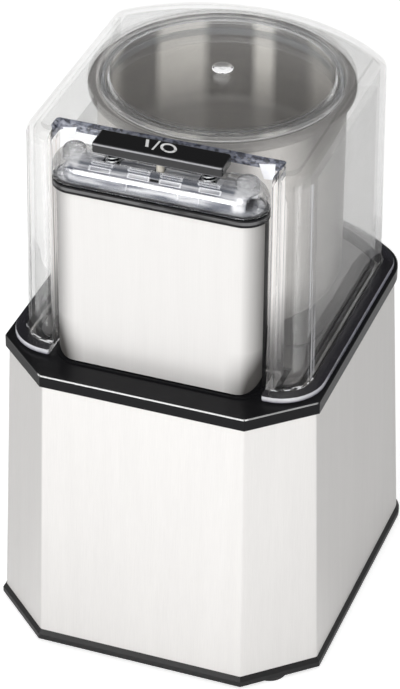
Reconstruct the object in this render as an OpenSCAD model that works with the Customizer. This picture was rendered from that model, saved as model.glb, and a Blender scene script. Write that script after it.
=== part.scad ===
// Electric spice grinder: steel housing on a plastic tray, a universal motor hung under the deck,
// a lift-out steel bowl with its own blade, and a clear lid whose button works the interlock column.
// +Z is up, the front faces -Y, and the origin is under the middle of the base, on the worktop.

/* [Base] */
// Width of the base tray
base_w = 159; // [145:1:175]
// Depth of the base tray
base_d = 189; // [180:1:205]
// Width that each front corner cut takes off the base
corner_cut_x = 29.4; // [20:0.1:34]
// Depth that each front corner cut takes off the base
corner_cut_y = 27; // [20:0.1:32]
// Radius of the base's two rear corners
base_corner_r = 15; // [10:0.5:24]
// Distance of the centre of the rear arcs in front of the middle
rear_arc_set = 16.8; // [5:0.1:20]
// Height of the tray's outer rim
tray_rim_h = 4.8; // [4:0.1:7]
// Thickness of the tray's floor
tray_floor_t = 3; // [2:0.1:4]
// Ledge of the tray outside the steel
tray_ledge = 1.5; // [1:0.1:2.5]
// Height of the tray's locating wall inside the steel
tray_wall_h = 7; // [4:0.5:12]
// Thickness of the tray's locating wall
tray_wall_t = 2; // [1.5:0.1:3]
// Width of an air slot in the tray
vent_w = 3; // [2:0.1:3.5]
// Length of an air slot in the tray
vent_l = 34; // [20:1:40]
// Distance between air slots
vent_pitch = 7; // [6:0.1:9]
// Height of a foot under the tray
foot_h = 3; // [2:0.1:5]
// Radius of a foot
foot_r = 9; // [6:0.1:10]

/* [Housing] */
// Height of the steel housing
housing_h = 137; // [130:0.5:150]
// Thickness of the steel
steel_t = 1; // [0.8:0.1:1.2]
// Height of the cord gland above the tray's rim
gland_rise = 18; // [14:0.5:30]
// Outer radius of the cord gland's flange
gland_r = 9; // [8:0.1:11]
// Radius of the cord gland's bore
gland_bore_r = 3.8; // [3:0.1:4.5]

/* [Deck] */
// Width of the deck
deck_w = 150; // [140:1:160]
// Distance from the deck's front edge to its rear edge
deck_d = 178.2; // [172:0.5:184]
// Distance of the deck's front edge behind the base's front edge
deck_setback = 4.5; // [3:0.1:6]
// Radius of the deck's rear corners
deck_corner_r = 24; // [12:0.5:28]
// Height of the deck's rim
deck_rim_h = 6; // [5:0.1:8]
// Overhang of the deck's rim outside the steel
deck_overhang = 1.5; // [1:0.1:2.5]
// Thickness of the deck
deck_t = 3; // [2.5:0.1:4]
// Length of the lip that reaches down inside the steel
deck_lip_h = 7; // [4:0.5:10]
// Width of the steel deck plate
plate_w = 123.4; // [120:0.2:126]
// Thickness of the steel deck plate
plate_t = 1.2; // [0.8:0.1:1.5]
// Width of the groove along each side of the deck plate
groove_w = 4.2; // [3.6:0.1:5]
// Depth of the side grooves
groove_depth = 1.6; // [1:0.1:2]
// Width of a rib in the side grooves
groove_rib_w = 0.8; // [0.6:0.05:1]
// Inner radius of the well that takes the bowl's foot
well_r = 36.5; // [36:0.1:38]
// Depth of the well below the deck's top
well_depth = 22; // [20:0.5:24]

/* [Interlock column] */
// Width of the column
column_w = 96.4; // [90:0.2:98]
// Depth of the column
column_d = 23; // [22.4:0.1:26]
// Height of the column above the deck
column_h = 89; // [80:0.5:95]
// Distance of the column's front behind the deck's front edge
column_setback = 15; // [14:0.1:16]
// Radius of the column's upright corners
column_corner_r = 11; // [8:0.1:11.4]
// Wall of the column's plastic frame
column_wall = 2.4; // [2:0.1:3]
// Depth to which the steel cover wraps round the sides
cover_wrap = 9; // [6:0.1:12]
// Radius of the steel cover's lower corners
cover_corner_r = 8; // [4:0.5:10]

/* [Lid] */
// Width of the lid at its top
lid_w = 132; // [126:0.5:134]
// Height of the lid
lid_h = 111.2; // [108:0.1:120]
// Distance from the lid's front wall to the deck's front edge, at the lid's top
lid_setback = 23; // [21:0.1:25]
// Distance from the lid's rear wall to the deck's rear edge, at the lid's top
lid_rear_setback = 10.7; // [10:0.1:13]
// How much the walls spread towards their foot
lid_draft = 1.3; // [0.5:0.1:2]
// Thickness of the lid's walls
lid_wall = 3; // [2:0.1:3.5]
// Thickness of the lid's top
lid_top_t = 2.5; // [2:0.1:3]
// Radius of the lid's top edges
lid_edge_r = 6.5; // [4:0.1:7]
// Radius of the lid's front upright corners
lid_front_r = 13.5; // [10:0.1:14]
// Radius of the lid's rear upright corners
lid_rear_r = 9.5; // [9:0.1:14]
// Width of the flange round the lid's foot
flange_w = 6; // [4:0.1:6.4]
// Thickness of the flange
flange_t = 3; // [2:0.1:4]
// Air between the column and the lid's notch, on each side
notch_side = 4.6; // [2.4:0.1:5.8]
// Wall of the lid beside and behind the notch
notch_wall = 2.2; // [1.6:0.1:2.4]
// Air between the column and the flange's ends, on each side
flange_side = 2.5; // [2:0.1:4.2]
// Gap between parts that lift off one another
lift_gap = 0.3; // [0.3:0.05:0.5]

/* [Bowl] */
// Distance of the bowl's and motor's axis behind the origin; the column, deck and base keep their distance from it
axis_set = 13; // [12.5:0.1:14]
// Outer radius of the bowl
bowl_r = 56; // [52:0.1:56.4]
// Height of the bowl's steel
bowl_h = 101.5; // [95:0.1:101.8]
// Wall of the bowl
bowl_wall = 1.2; // [0.8:0.1:1.4]
// Radius of the bowl's bottom edge
bowl_edge_r = 9; // [6:0.5:12]
// Outer radius of the bowl's rolled rim
bowl_rim_r = 60.3; // [59:0.1:60.6]
// Radius of the bead on the rim
bowl_bead_r = 1.6; // [1.2:0.1:2]
// Air between the bowl's rim and the lid's notch
rim_gap = 2; // [1:0.1:4]
// Outer radius of the plastic foot ring under the bowl
foot_ring_r = 46; // [42:0.5:47]
// Thickness of the foot ring
foot_ring_t = 3; // [2.5:0.1:4]
// Outer radius of the bowl's collar, which enters the well
collar_r = 33; // [31:0.1:34]
// Height of the collar
collar_h = 14; // [12:0.5:15]
// Wall of the collar
collar_wall = 3; // [2:0.1:4]
// How far the collar's lugs stand out
collar_lug = 2.2; // [1.5:0.1:2.4]
// Depth of the lid's plug inside the bowl
plug_depth = 11; // [8:0.5:16]
// Thickness of the plug's disc and skirt
plug_t = 2.2; // [1.8:0.1:2.3]

/* [Blade] */
// Radius that the blade sweeps
blade_r = 46; // [38:0.5:49]
// Width of the blade at its hub
blade_w = 15; // [12:0.5:18]
// Thickness of the blade
blade_t = 2; // [1.5:0.1:2.5]
// Length of each upturned tip
blade_tip_l = 16; // [10:0.5:18]
// Angle of the upturned tips
blade_tip_angle = 25; // [10:1:35]
// Height of the blade above the bowl's floor
blade_rise = 14; // [13:0.5:20]
// Radius of the blade's shaft
blade_shaft_r = 4; // [3.5:0.1:4.5]
// Outer radius of the blade's bushing
bushing_r = 9; // [8:0.1:10]

/* [Button] */
// Length of the push button
button_l = 59.6; // [50:0.2:64]
// Depth of the push button
button_d = 12.4; // [11:0.1:13]
// Thickness of the push button
button_t = 5.6; // [4:0.1:7]
// Travel of the push button
button_travel = 4; // [3:0.1:4]
// Thickness of the black base under the clear button housing
button_base_t = 4.2; // [4:0.1:6.5]
// How far the button housing stands proud of the column
nose_proud = 1.4; // [0.8:0.1:1.6]
// Height of the clear button housing
nose_h = 13.9; // [12:0.1:15]
// Wall of the clear button housing
nose_wall = 2; // [1.5:0.1:2.4]
// Radius of the clear button housing's top edges
nose_edge_r = 5.5; // [3.5:0.1:6]
// Distance of the button's guide posts from its middle
guide_x = 22; // [16:0.5:24]
// Radius of the button's guide posts
guide_r = 2.4; // [2:0.1:3]
// Distance of the domed screw bosses from the middle
boss_x = 40; // [38:0.5:41]
// Radius of the domed screw bosses
boss_r = 5.6; // [5:0.1:7]

/* [Motor] */
// Length of the stator's stack
stack_l = 36; // [30:0.5:38]
// Half width of the stator's stack
stack_half = 38; // [37:0.5:40]
// Radius of the armature
armature_r = 24; // [20:0.5:25]
// Air gap between armature and stator
air_gap = 0.6; // [0.4:0.05:1]
// Number of armature slots
armature_slots = 12; // [8:1:14]
// Radius of the motor shaft
motor_shaft_r = 4; // [3.5:0.1:4.5]
// Radius of the commutator
commutator_r = 12; // [10:0.1:13]
// Radius of the cooling fan
fan_r = 34; // [28:0.5:34.5]
// Number of fan blades
fan_blades = 11; // [7:1:13]
// Outer radius of the upper bearing
upper_bearing_r = 11; // [10:0.1:12]
// Outer radius of the lower bearing
lower_bearing_r = 9.5; // [8.5:0.1:10]
// Distance of the stator's bolts from the axis, along X and along Y
bolt_set = 28; // [27:0.1:29]
// Distance of the motor's rubber mounts from the axis, along X and along Y
mount_set = 34.5; // [34:0.1:37]
// Height of a rubber mount
mount_h = 4.5; // [3:0.1:6]
// Width of the drive hexagon across its flats
drive_hex = 12; // [10:0.1:13]
// Height of the drive hexagon
drive_hex_h = 8; // [6:0.1:9]

/* [Fasteners] */
// Radius of the long screws between tray and deck
tie_r = 2.2; // [1.8:0.1:2.6]
// Distance of the front long screws from the middle, along X
tie_front_x = 58; // [54:0.5:60]
// Distance of the rear long screws from the middle, along X
tie_rear_x = 56; // [52:0.5:57]
// Radius of the small screws
screw_r = 2; // [1.6:0.1:2.2]
// Radial clearance of a screw or post in its hole
hole_clearance = 0.1; // [0.05:0.05:0.2]

/* [Hidden] */
$fn = 96;

// Small values shared by many pieces
seat_gap = 0.3;
shaft_fit = 0.05;
press_gap = 0.02;
thin = 0.01;
cut = 1;

// Heights
tray_z = foot_h;
steel_z = tray_z + tray_rim_h;
deck_z = steel_z + housing_h;
top_z = deck_z + deck_rim_h;
plate_z = top_z + plate_t;
column_top = top_z + column_h;
lid_z = top_z + lift_gap;
lid_top = lid_z + lid_h;
bowl_foot_z = plate_z + seat_gap;
bowl_z = bowl_foot_z + foot_ring_t;
bowl_top = bowl_z + bowl_h;
well_z = top_z - well_depth;

// Outlines: half width, front, corner cut along X and Y, rear, rear corner radius, front corner radius
arc_y = -rear_arc_set;
column_clear = 0.5;
notch_w = column_w + 2 * notch_side;
flange_gap_w = column_w + 2 * flange_side;
notch_back = axis_set - bowl_rim_r - rim_gap - notch_wall;
column_back = notch_back - column_clear;
column_front = column_back - column_d;
deck_front = column_front - column_setback;
deck_rear = deck_front + deck_d;
base_front = deck_front - deck_setback;
base_rear = base_front + base_d;
base_plan = [base_w / 2, base_front, corner_cut_x, corner_cut_y, base_rear, base_corner_r, 0];
deck_cuts = inset(base_plan, (base_w - deck_w) / 2);
deck_plan = [deck_w / 2, deck_front, deck_cuts[2], deck_cuts[3], deck_rear, deck_corner_r, 0];
steel_foot = inset(base_plan, tray_ledge);
steel_head = inset(deck_plan, deck_overhang);
lid_front = deck_front + lid_setback;
lid_rear = deck_rear - lid_rear_setback;
lid_head = [lid_w / 2, lid_front, lid_front_r, lid_front_r, lid_rear, lid_rear_r, lid_front_r];
lid_foot = inset(lid_head, -lid_draft);
lid_flange = inset(lid_foot, -flange_w);

// Column, notch and button
column_y = (column_front + column_back) / 2;
nose_front = column_front - nose_proud;
nose_r = column_corner_r;
nose_back = nose_front + 2 * nose_r;
nose_y = nose_front + nose_r;
nose_half = column_w / 2 + nose_proud;
nose_z = column_top + lift_gap + button_base_t;
nose_top = nose_z + nose_h;
button_z = nose_top + 0.7;
slot_z = button_z - button_travel - 0.6;
button_y = nose_y + 1.2;

// Interlock switch, hung in the column
plunger_r = 3;
plunger_top = nose_z + 2.4;
shelf_t = 3;
bracket_t = 1.5;
lever_x = -18;
lever_z = column_top - 30;
lever_t = 2;
lever_gap = 0.8;
lever_w = 5.6;
bracket_top = lever_z + 8;
switch_w = 28;
switch_h = 14;
switch_side = 2;
switch_front = 4;
switch_pin_depth = 6;
switch_z = lever_z - 22;
switch_pin_x = -9;
switch_pin_r = 1.2;
spring_wire_r = 0.5;

// Motor heights, counted down from the deck's well, because the motor hangs from the deck
bracket_plate_t = 4;
winding_h = 8;
fan_h = 8.5;
upper_bearing_h = 7;
lower_bearing_h = 6;
commutator_l = 13;
coupling_l = 6.8;
hex_z = well_z - 3;
coupling_z = hex_z - coupling_l;
upper_plate_z = coupling_z - 6 - bracket_plate_t;
fan_z = upper_plate_z - 3 - fan_h;
stack_top = fan_z - 1.5 - winding_h;
stack_z = stack_top - stack_l;
lower_plate_z = stack_z - 30;
commutator_z = lower_plate_z + 8.5;
brush_z = lower_plate_z + 15;
motor_z = lower_plate_z - 8;
axis = [0, axis_set, 0];

// Screw places
tie_front_y = base_front + 36.5;
tie_rear_y = base_rear - 38.5;
foot_front = [base_w / 2 - 22, base_front + 19.9];
foot_rear = [base_w / 2 - 31.5, base_rear - 26.5];
foot_places = [[-foot_front[0], foot_front[1]], foot_front, [-foot_rear[0], foot_rear[1]], foot_rear];
tie_places = [[-tie_front_x, tie_front_y], [tie_front_x, tie_front_y],
              [-tie_rear_x, tie_rear_y], [tie_rear_x, tie_rear_y]];
diagonals = [[-1, -1], [1, -1], [-1, 1], [1, 1]];

// ---- outlines ----

// The same outline moved inwards by d
function inset(p, d) =
    let (slope = norm([p[2], p[3]]),
         depth = p[2] * p[3] / slope,
         k = 1 - d * ((p[2] + p[3]) / slope - 1) / depth,
         cuts = p[6] > 0 ? [p[6] - d, p[6] - d] : [p[2] * k, p[3] * k])
    [p[0] - d, p[1] + d, cuts[0], cuts[1], p[4] - d, p[5] - d, p[6] > 0 ? p[6] - d : 0];

// The housing's outline at a height, between its foot and its head
function steel_at(z) = steel_foot + (steel_head - steel_foot) * (z - steel_z) / housing_h;

// Radius of an outline's rear arc
function rear_r(p) = p[4] - arc_y;

// The right half of an outline's straight and rounded edges, from the front to where the rear arc starts
function half_outline(p) =
    let (cx = p[0] - p[5],
         cy = sqrt(pow(rear_r(p) - p[5], 2) - cx * cx),
         turn = atan2(cy, cx),
         steps = 8,
         front = p[6] > 0
             ? [for (i = [0:steps]) let (a = -90 + 90 * i / steps)
                [p[0] - p[6] + p[6] * cos(a), p[1] + p[6] + p[6] * sin(a)]]
             : [[p[0] - p[2], p[1]], [p[0], p[1] + p[3]]],
         rear = [for (i = [0:steps]) let (a = turn * i / steps, r = p[5] * (i < steps ? 1 : 1.002))
                [cx + r * cos(a), arc_y + cy + r * sin(a)]])
    concat(front, rear, [[2 * rear[steps][0], arc_y + 2 * (rear[steps][1] - arc_y)]]);

// Straight sides and front, and a rear that is one wide arc with rounded corners
module plan(p) {
    right = half_outline(p);
    last = len(right) - 1;
    intersection() {
        translate([0, arc_y]) circle(rear_r(p));
        polygon(concat(right, [for (i = [last:-1:0]) [-right[i][0], right[i][1]]]));
    }
}

// A straight block of an outline between two heights
module block(p, z0, z1) {
    translate([0, 0, z0]) linear_extrude(z1 - z0) plan(p);
}

// A tapering block between two outlines
module loft(p0, z0, p1, z1) {
    hull() {
        block(p0, z0, z0 + thin);
        block(p1, z1 - thin, z1);
    }
}

// A rectangle with round corners, centred on x = 0
module round_rect(half, y0, y1, r) {
    translate([-half + r, y0]) square([2 * (half - r), y1 - y0]);
    translate([-half, y0 + r]) square([2 * half, y1 - y0 - 2 * r]);
    for (x = [-half + r, half - r], y = [y0 + r, y1 - r]) translate([x, y]) circle(r);
}

// The column's section, moved inwards by d
module column_section(d) {
    round_rect(column_w / 2 - d, column_front + d, column_back - d, column_corner_r - d);
}

// The button housing's section, a long round-ended bar
module nose_section(d) {
    x = nose_half - nose_r;
    translate([-x, nose_front + d]) square([2 * x, 2 * (nose_r - d)]);
    for (side = [-1, 1]) translate([side * x, nose_y]) circle(nose_r - d);
}

// A round-ended bar with rounded top edges
module nose_bar(r, edge, z0, z1) {
    x = nose_half - nose_r;
    for (side = [-1, 1]) translate([side * x, nose_y, z0]) rotate_extrude() nose_profile(r, edge, z1 - z0);
    translate([-x, nose_y, z0]) rotate([90, 0, 90]) linear_extrude(2 * x) {
        nose_profile(r, edge, z1 - z0);
        mirror([1, 0]) nose_profile(r, edge, z1 - z0);
    }
}

module nose_profile(r, edge, h) {
    square([r, h - edge]);
    square([r - edge, h]);
    translate([r - edge, h - edge]) intersection() {
        circle(edge);
        square(edge);
    }
}

// ---- shared solids ----

module rod(r, z0, z1) {
    translate([0, 0, z0]) cylinder(r = r, h = z1 - z0);
}

module ring(r_out, r_in, z0, z1) {
    difference() {
        rod(r_out, z0, z1);
        rod(r_in, z0 - cut, z1 + cut);
    }
}

// A pan-head screw that points up: head from z0, shank to z1
module screw(r, z0, z1) {
    head_h = 1.3 * r;
    rod(1.9 * r, z0, z0 + head_h);
    rod(r, z0 + head_h, z1);
}

// A coil of round wire, standing on z0
module coil(r, wire, turns, z0, z1) {
    sides = 7;
    steps = 16 * turns;
    rise = z1 - z0 - 2 * wire;
    pts = [for (i = [0:steps], j = [0:sides - 1])
        let (a = 360 * i / 16, b = 360 * j / sides, d = r + wire * cos(b))
        [d * cos(a), d * sin(a), z0 + wire + rise * i / steps + wire * sin(b)]];
    walls = [for (i = [0:steps - 1], j = [0:sides - 1])
        let (a = i * sides + j, b = i * sides + (j + 1) % sides) [a, a + sides, b + sides, b]];
    ends = [[for (j = [0:sides - 1]) j], [for (j = [sides - 1:-1:0]) steps * sides + j]];
    polyhedron(pts, concat(walls, ends), convexity = 6);
}

// ---- base ----

module tray_hole(z0, z1, r) {
    translate([0, 0, z0]) cylinder(r = r, h = z1 - z0);
}

tie_boss_h = 6;
tie_head_z = tray_z + tray_floor_t + tie_boss_h - 3;

module base_tray() {
    wall_plan = inset(steel_at(steel_z + tray_wall_h), steel_t + seat_gap);
    floor_z = tray_z + tray_floor_t;
    ridge_z = tray_z + 0.55 * tray_rim_h;
    color("#1b1b1d") difference() {
        union() {
            difference() {
                union() {
                    block(base_plan, tray_z, ridge_z);
                    loft(base_plan, ridge_z, steel_foot, steel_z);
                    block(wall_plan, steel_z - cut, steel_z + tray_wall_h);
                }
                block(inset(wall_plan, tray_wall_t), floor_z, steel_z + tray_wall_h + cut);
            }
            for (p = tie_places) translate(p) rod(tie_r + 4.3, floor_z - cut, floor_z + tie_boss_h);
        }
        for (p = tie_places) translate(p) {
            tray_hole(tray_z - cut, tie_head_z, 1.9 * tie_r + 0.4);
            tray_hole(tray_z - cut, floor_z + tie_boss_h + cut, tie_r + hole_clearance);
        }
        for (p = foot_places) translate(p) tray_hole(tray_z - cut, floor_z + cut, foot_r / 3 + hole_clearance);
        for (i = [-4:4]) translate([i * vent_pitch - vent_w / 2, axis_set - vent_l / 2, tray_z - cut])
            cube([vent_w, vent_l, tray_floor_t + 2 * cut]);
    }
}

module foot(place) {
    floor_z = tray_z + tray_floor_t;
    color("#232323") translate(place) {
        cylinder(r1 = foot_r - 0.8, r2 = foot_r, h = tray_z);
        rod(foot_r / 3, tray_z - thin, floor_z + thin);
        rod(foot_r / 2 - 0.7, floor_z, floor_z + 1.6);
    }
}

module foot_front_left() { foot(foot_places[0]); }
module foot_front_right() { foot(foot_places[1]); }
module foot_rear_left() { foot(foot_places[2]); }
module foot_rear_right() { foot(foot_places[3]); }

gland_z = steel_z + gland_rise;
gland_wall_y = steel_at(gland_z)[4];
gland_neck_r = gland_r - 2.2;

module housing_shell() {
    color("#c9c9c6") difference() {
        loft(steel_foot, steel_z, steel_head, deck_z);
        loft(inset(steel_at(steel_z - cut), steel_t), steel_z - cut, inset(steel_at(deck_z + cut), steel_t), deck_z + cut);
        translate([0, gland_wall_y, gland_z]) rotate([90, 0, 0])
            cylinder(r = (gland_neck_r + hole_clearance) / cos(15), h = 10, center = true, $fn = 12);
    }
}

module cord_gland() {
    flange_t = 1.8;
    nut_gap = 1;
    color("#1b1b1d") translate([0, gland_wall_y, gland_z]) rotate([90, 0, 0]) difference() {
        union() {
            translate([0, 0, -flange_t - 0.5]) cylinder(r = gland_r, h = flange_t);
            translate([0, 0, -flange_t]) cylinder(r = gland_neck_r, h = flange_t + steel_t + nut_gap + 7);
            translate([0, 0, steel_t + nut_gap]) cylinder(r = gland_r, h = 3.5, $fn = 6);
        }
        cylinder(r = gland_bore_r, h = 40, center = true);
    }
}

// ---- deck ----

plate_front = column_back + notch_wall + 3;
plate_plan = [plate_w / 2, lid_front + 7, 7, 7, lid_rear + lid_draft - lid_wall - 1, 8, 7];
horn_x = notch_w / 2 + notch_wall + 0.6;
groove_front = lid_front + lid_front_r;
groove_rear = lid_rear - 31;
wire_w = 30;
wire_d = 10;
column_screw_x = 30;
mount_post_r = 6;

module deck_grooves() {
    groove_x = plate_w / 2;
    ribs = 2;
    pitch = groove_w / (ribs + 1);
    for (side = [-1, 1]) {
        x0 = side > 0 ? groove_x : -groove_x - groove_w;
        difference() {
            translate([x0, groove_front, top_z - groove_depth])
                cube([groove_w, groove_rear - groove_front, groove_depth + cut]);
            for (i = [1:ribs]) translate([x0 + i * pitch - groove_rib_w / 2, groove_front - cut, top_z - groove_depth])
                cube([groove_rib_w, groove_rear - groove_front + 2 * cut, groove_depth - 0.3]);
        }
    }
}

mount_top = upper_plate_z + bracket_plate_t + mount_h;
mount_screw_reach = 12;
tie_screw_set = 14;

module top_deck() {
    under_z = top_z - deck_t;
    lip_plan = inset(steel_head, steel_t + seat_gap);
    inner_plan = inset(lip_plan, deck_t);
    plinth_h = 0.8;
    color("#151517") difference() {
        union() {
            block(deck_plan, under_z, top_z);
            translate([0, 0, deck_z]) linear_extrude(under_z - deck_z) difference() {
                plan(deck_plan);
                plan(inner_plan);
            }
            translate([0, 0, deck_z - deck_lip_h]) linear_extrude(deck_lip_h) difference() {
                plan(lip_plan);
                plan(inner_plan);
            }
            translate([0, 0, top_z - thin]) linear_extrude(plinth_h + thin) intersection() {
                column_section(-1.2);
                translate([-column_w, column_front - 5]) square([2 * column_w, column_d + 5]);
            }
            translate(axis) rod(well_r + 2.5, well_z - 3, under_z + thin);
            for (p = tie_places) translate(p) rod(tie_r + 3.3, top_z - 32, under_z + thin);
            mount_circle() rod(mount_post_r, mount_top, under_z + thin);
        }
        translate(axis) rod(well_r, well_z, top_z + cut);
        translate(axis) rod(14.5, well_z - 3 - cut, well_z + cut);
        translate([-wire_w / 2, column_y - wire_d / 2, under_z - cut]) cube([wire_w, wire_d, deck_t + 3]);
        for (p = tie_places) translate(p) rod(tie_r + hole_clearance, top_z - 33, top_z - tie_screw_set + 2);
        mount_circle() rod(screw_r + hole_clearance, mount_top - cut, mount_top + mount_screw_reach + 2);
        for (side = [-1, 1]) translate([side * column_screw_x, column_y, under_z - cut])
            cylinder(r = screw_r + hole_clearance, h = deck_t + 2 * cut);
        deck_grooves();
    }
}

module deck_plate() {
    color("#9c9c9b") translate([0, 0, top_z]) linear_extrude(plate_t) difference() {
        plan(plate_plan);
        translate([-horn_x, lid_front - 20]) square([2 * horn_x, plate_front - lid_front + 20]);
        translate([0, axis_set]) circle(well_r + 0.5);
    }
}

seat_t = 3;

module bowl_seat() {
    color("#202022") translate(axis) {
        ring(well_r - 0.2, 24, well_z, well_z + seat_t);
        for (a = [45:90:315]) rotate(a) translate([24, -3.5, well_z + seat_t - thin])
            cube([well_r - 27, 7, 1.6]);
    }
}

// ---- interlock column ----

module column_frame() {
    floor_t = 3;
    color("#151517") difference() {
        union() {
            translate([0, 0, top_z + 0.8]) linear_extrude(column_h - 0.8) column_section(steel_t + 0.05);
            translate([0, 0, top_z + 0.8]) linear_extrude(column_h - 0.8) intersection() {
                column_section(0);
                translate([-column_w, column_front + cover_wrap + 0.1])
                    square([2 * column_w, column_d]);
            }
        }
        translate([0, 0, top_z + 0.8 + floor_t]) linear_extrude(column_h - 0.8 - floor_t - shelf_t)
            column_section(steel_t + column_wall);
        translate([0, nose_y, column_top - shelf_t - cut])
            cylinder(r = plunger_r + shaft_fit, h = shelf_t + 2 * cut);
        for (side = [-1, 1]) translate([side * column_screw_x, column_y, top_z - cut])
            cylinder(r = screw_r + hole_clearance, h = floor_t + 3);
        translate([-wire_w / 2, column_y - wire_d / 2, top_z - cut]) cube([wire_w, wire_d, floor_t + 3]);
        for (x = bracket_screw_x) translate([x, bracket_y - cut, bracket_mid_z]) rotate([-90, 0, 0])
            cylinder(r = bracket_screw_r + hole_clearance, h = 3);
    }
}

module column_cover() {
    color("#cfcdc9") intersection() {
        translate([0, 0, top_z + 0.9]) linear_extrude(column_h - 0.9) difference() {
            column_section(0);
            column_section(steel_t);
            translate([-column_w, column_front + cover_wrap]) square([2 * column_w, column_d]);
        }
        translate([0, column_back, top_z + 1.4]) rotate([90, 0, 0]) linear_extrude(2 * column_d) union() {
            round_rect(column_w / 2, 0, column_h, cover_corner_r);
            translate([-column_w / 2, column_h / 2]) square([column_w, column_h / 2]);
        }
    }
}

module column_screws() {
    color("#8f9092") for (side = [-1, 1]) translate([side * column_screw_x, column_y, top_z + 0.8 + 3])
        mirror([0, 0, 1]) {
            rod(3.6, -2.6, 0);
            rod(screw_r, 0, 0.8 + 3 + deck_t);
        }
}

bracket_y = column_back - steel_t - column_wall;
bracket_screw_r = 1.5;
bracket_screw_x = [-22, 20];
bracket_w = 50;
bracket_left = 26;
bracket_foot = 4;
bracket_mid_z = (switch_z + bracket_top) / 2 + bracket_foot;

module switch_bracket() {
    back_y = bracket_y - bracket_t;
    color("#a9abad") difference() {
        union() {
            translate([-bracket_left, back_y, switch_z - bracket_foot])
                cube([bracket_w, bracket_t, bracket_top - switch_z + bracket_foot]);
            translate([-bracket_left, nose_y - 5, bracket_top - bracket_t])
                cube([bracket_w, back_y - nose_y + 5 + thin, bracket_t]);
            for (y = [nose_y - 4.6, nose_y + 3.4]) translate([lever_x - 4, y, lever_z - 4])
                cube([8, 1.2, bracket_top - lever_z + 4 - thin]);
        }
        translate([0, nose_y, bracket_top - bracket_t - cut]) cylinder(r = plunger_r + 0.4, h = bracket_t + 2 * cut);
        translate([lever_x, nose_y - 10, lever_z]) rotate([-90, 0, 0]) cylinder(r = 1.5 + hole_clearance, h = 18);
        for (x = bracket_screw_x) translate([x, back_y - cut, bracket_mid_z]) rotate([-90, 0, 0])
            cylinder(r = bracket_screw_r + hole_clearance, h = bracket_t + 2 * cut);
    }
}

module bracket_screws() {
    color("#8f9092") for (x = bracket_screw_x) translate([x, bracket_y - bracket_t, bracket_mid_z])
        rotate([-90, 0, 0]) {
            translate([0, 0, -1.6]) cylinder(r = 1.8 * bracket_screw_r, h = 1.6);
            cylinder(r = bracket_screw_r, h = bracket_t + 1.7);
        }
}

module micro_switch() {
    color("#2b2b2e") difference() {
        translate([-switch_w / 2 - switch_side, nose_y - switch_front, switch_z])
            cube([switch_w, bracket_y - bracket_t - nose_y + switch_front, switch_h]);
        translate([switch_pin_x, nose_y, switch_z + switch_h - switch_pin_depth])
            cylinder(r = switch_pin_r + shaft_fit, h = switch_pin_depth + cut);
    }
    color("#c8a24a") for (x = [-11, -2, 7]) translate([x - 1.6, nose_y - 0.4, switch_z - 6])
        cube([3.2, 0.8, 6 + thin]);
}

module lever_pin() {
    color("#b9babc") translate([lever_x, nose_y - 4.6, lever_z]) rotate([-90, 0, 0]) {
        cylinder(r = 1.5, h = 9.8);
        translate([0, 0, -0.9]) cylinder(r = 2.6, h = 0.9);
    }
}

module switch_lever() {
    lever_l = 24;
    color("#d0b46a") difference() {
        union() {
            translate([lever_x, nose_y - lever_w / 2, lever_z]) rotate([-90, 0, 0]) cylinder(r = 3, h = lever_w);
            translate([lever_x, nose_y - lever_w / 2, lever_z - lever_t / 2]) cube([lever_l, lever_w, lever_t]);
        }
        translate([lever_x, nose_y - 5, lever_z]) rotate([-90, 0, 0]) cylinder(r = 1.5 + shaft_fit, h = 10);
    }
}

module switch_pin() {
    color("#e3dfd4") translate([switch_pin_x, nose_y, 0])
        rod(switch_pin_r, switch_z + switch_h - 3, lever_z - lever_t / 2 - lever_gap);
}

collar_z = column_top - shelf_t - 3;

module switch_plunger() {
    color("#1d1d1f") translate([0, nose_y, 0]) {
        rod(plunger_r, lever_z + lever_t / 2 + lever_gap + 2, plunger_top);
        rod(1.6, lever_z + lever_t / 2 + lever_gap, lever_z + lever_t / 2 + lever_gap + 2 + thin);
        rod(plunger_r + 2.2, collar_z, collar_z + 2);
    }
}

module plunger_spring() {
    color("#d3d4d6") translate([0, nose_y, 0])
        coil(plunger_r + 1.2, spring_wire_r, 6, bracket_top, collar_z);
}

// ---- motor ----

module bolt_circle() {
    for (d = diagonals) translate(axis + bolt_set * [d[0], d[1], 0]) children();
}

module mount_circle() {
    for (d = diagonals) translate(axis + mount_set * [d[0], d[1], 0]) children();
}

// Room for a field coil beside the armature, and its width
coil_room = 9;
coil_w = 33;

module stator_core() {
    window_r = armature_r + air_gap + coil_room;
    color("#6f7275") difference() {
        translate([0, axis_set, stack_z]) linear_extrude(stack_l) difference() {
            intersection() {
                square(2 * stack_half, center = true);
                circle(stack_half * 1.24);
            }
            circle(armature_r + air_gap);
            for (side = [-1, 1]) intersection() {
                difference() {
                    circle(window_r);
                    circle(armature_r + air_gap - thin);
                }
                translate([side * window_r, 0]) square([window_r * 1.1, coil_w + 1], center = true);
            }
        }
        bolt_circle() rod(screw_r + hole_clearance, stack_z - cut, stack_top + cut);
    }
}

module field_coils() {
    r_in = armature_r + air_gap + 0.6;
    r_out = armature_r + air_gap + coil_room - 0.6;
    color("#b5622e") translate(axis) for (side = [-1, 1]) difference() {
        intersection() {
            ring(r_out, r_in, stack_z - winding_h + 1, stack_top + winding_h - 1);
            translate([side * r_out, 0, stack_z + stack_l / 2])
                cube([1.14 * r_out, coil_w, stack_l + 2 * winding_h], center = true);
        }
    }
}

module bracket_arms(pad_set, pad_r) {
    for (a = [45, -45]) rotate(a) square([2 * sqrt(2) * pad_set, 11], center = true);
    for (d = diagonals) translate([d[0], d[1]] * pad_set) circle(pad_r);
}

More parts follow.
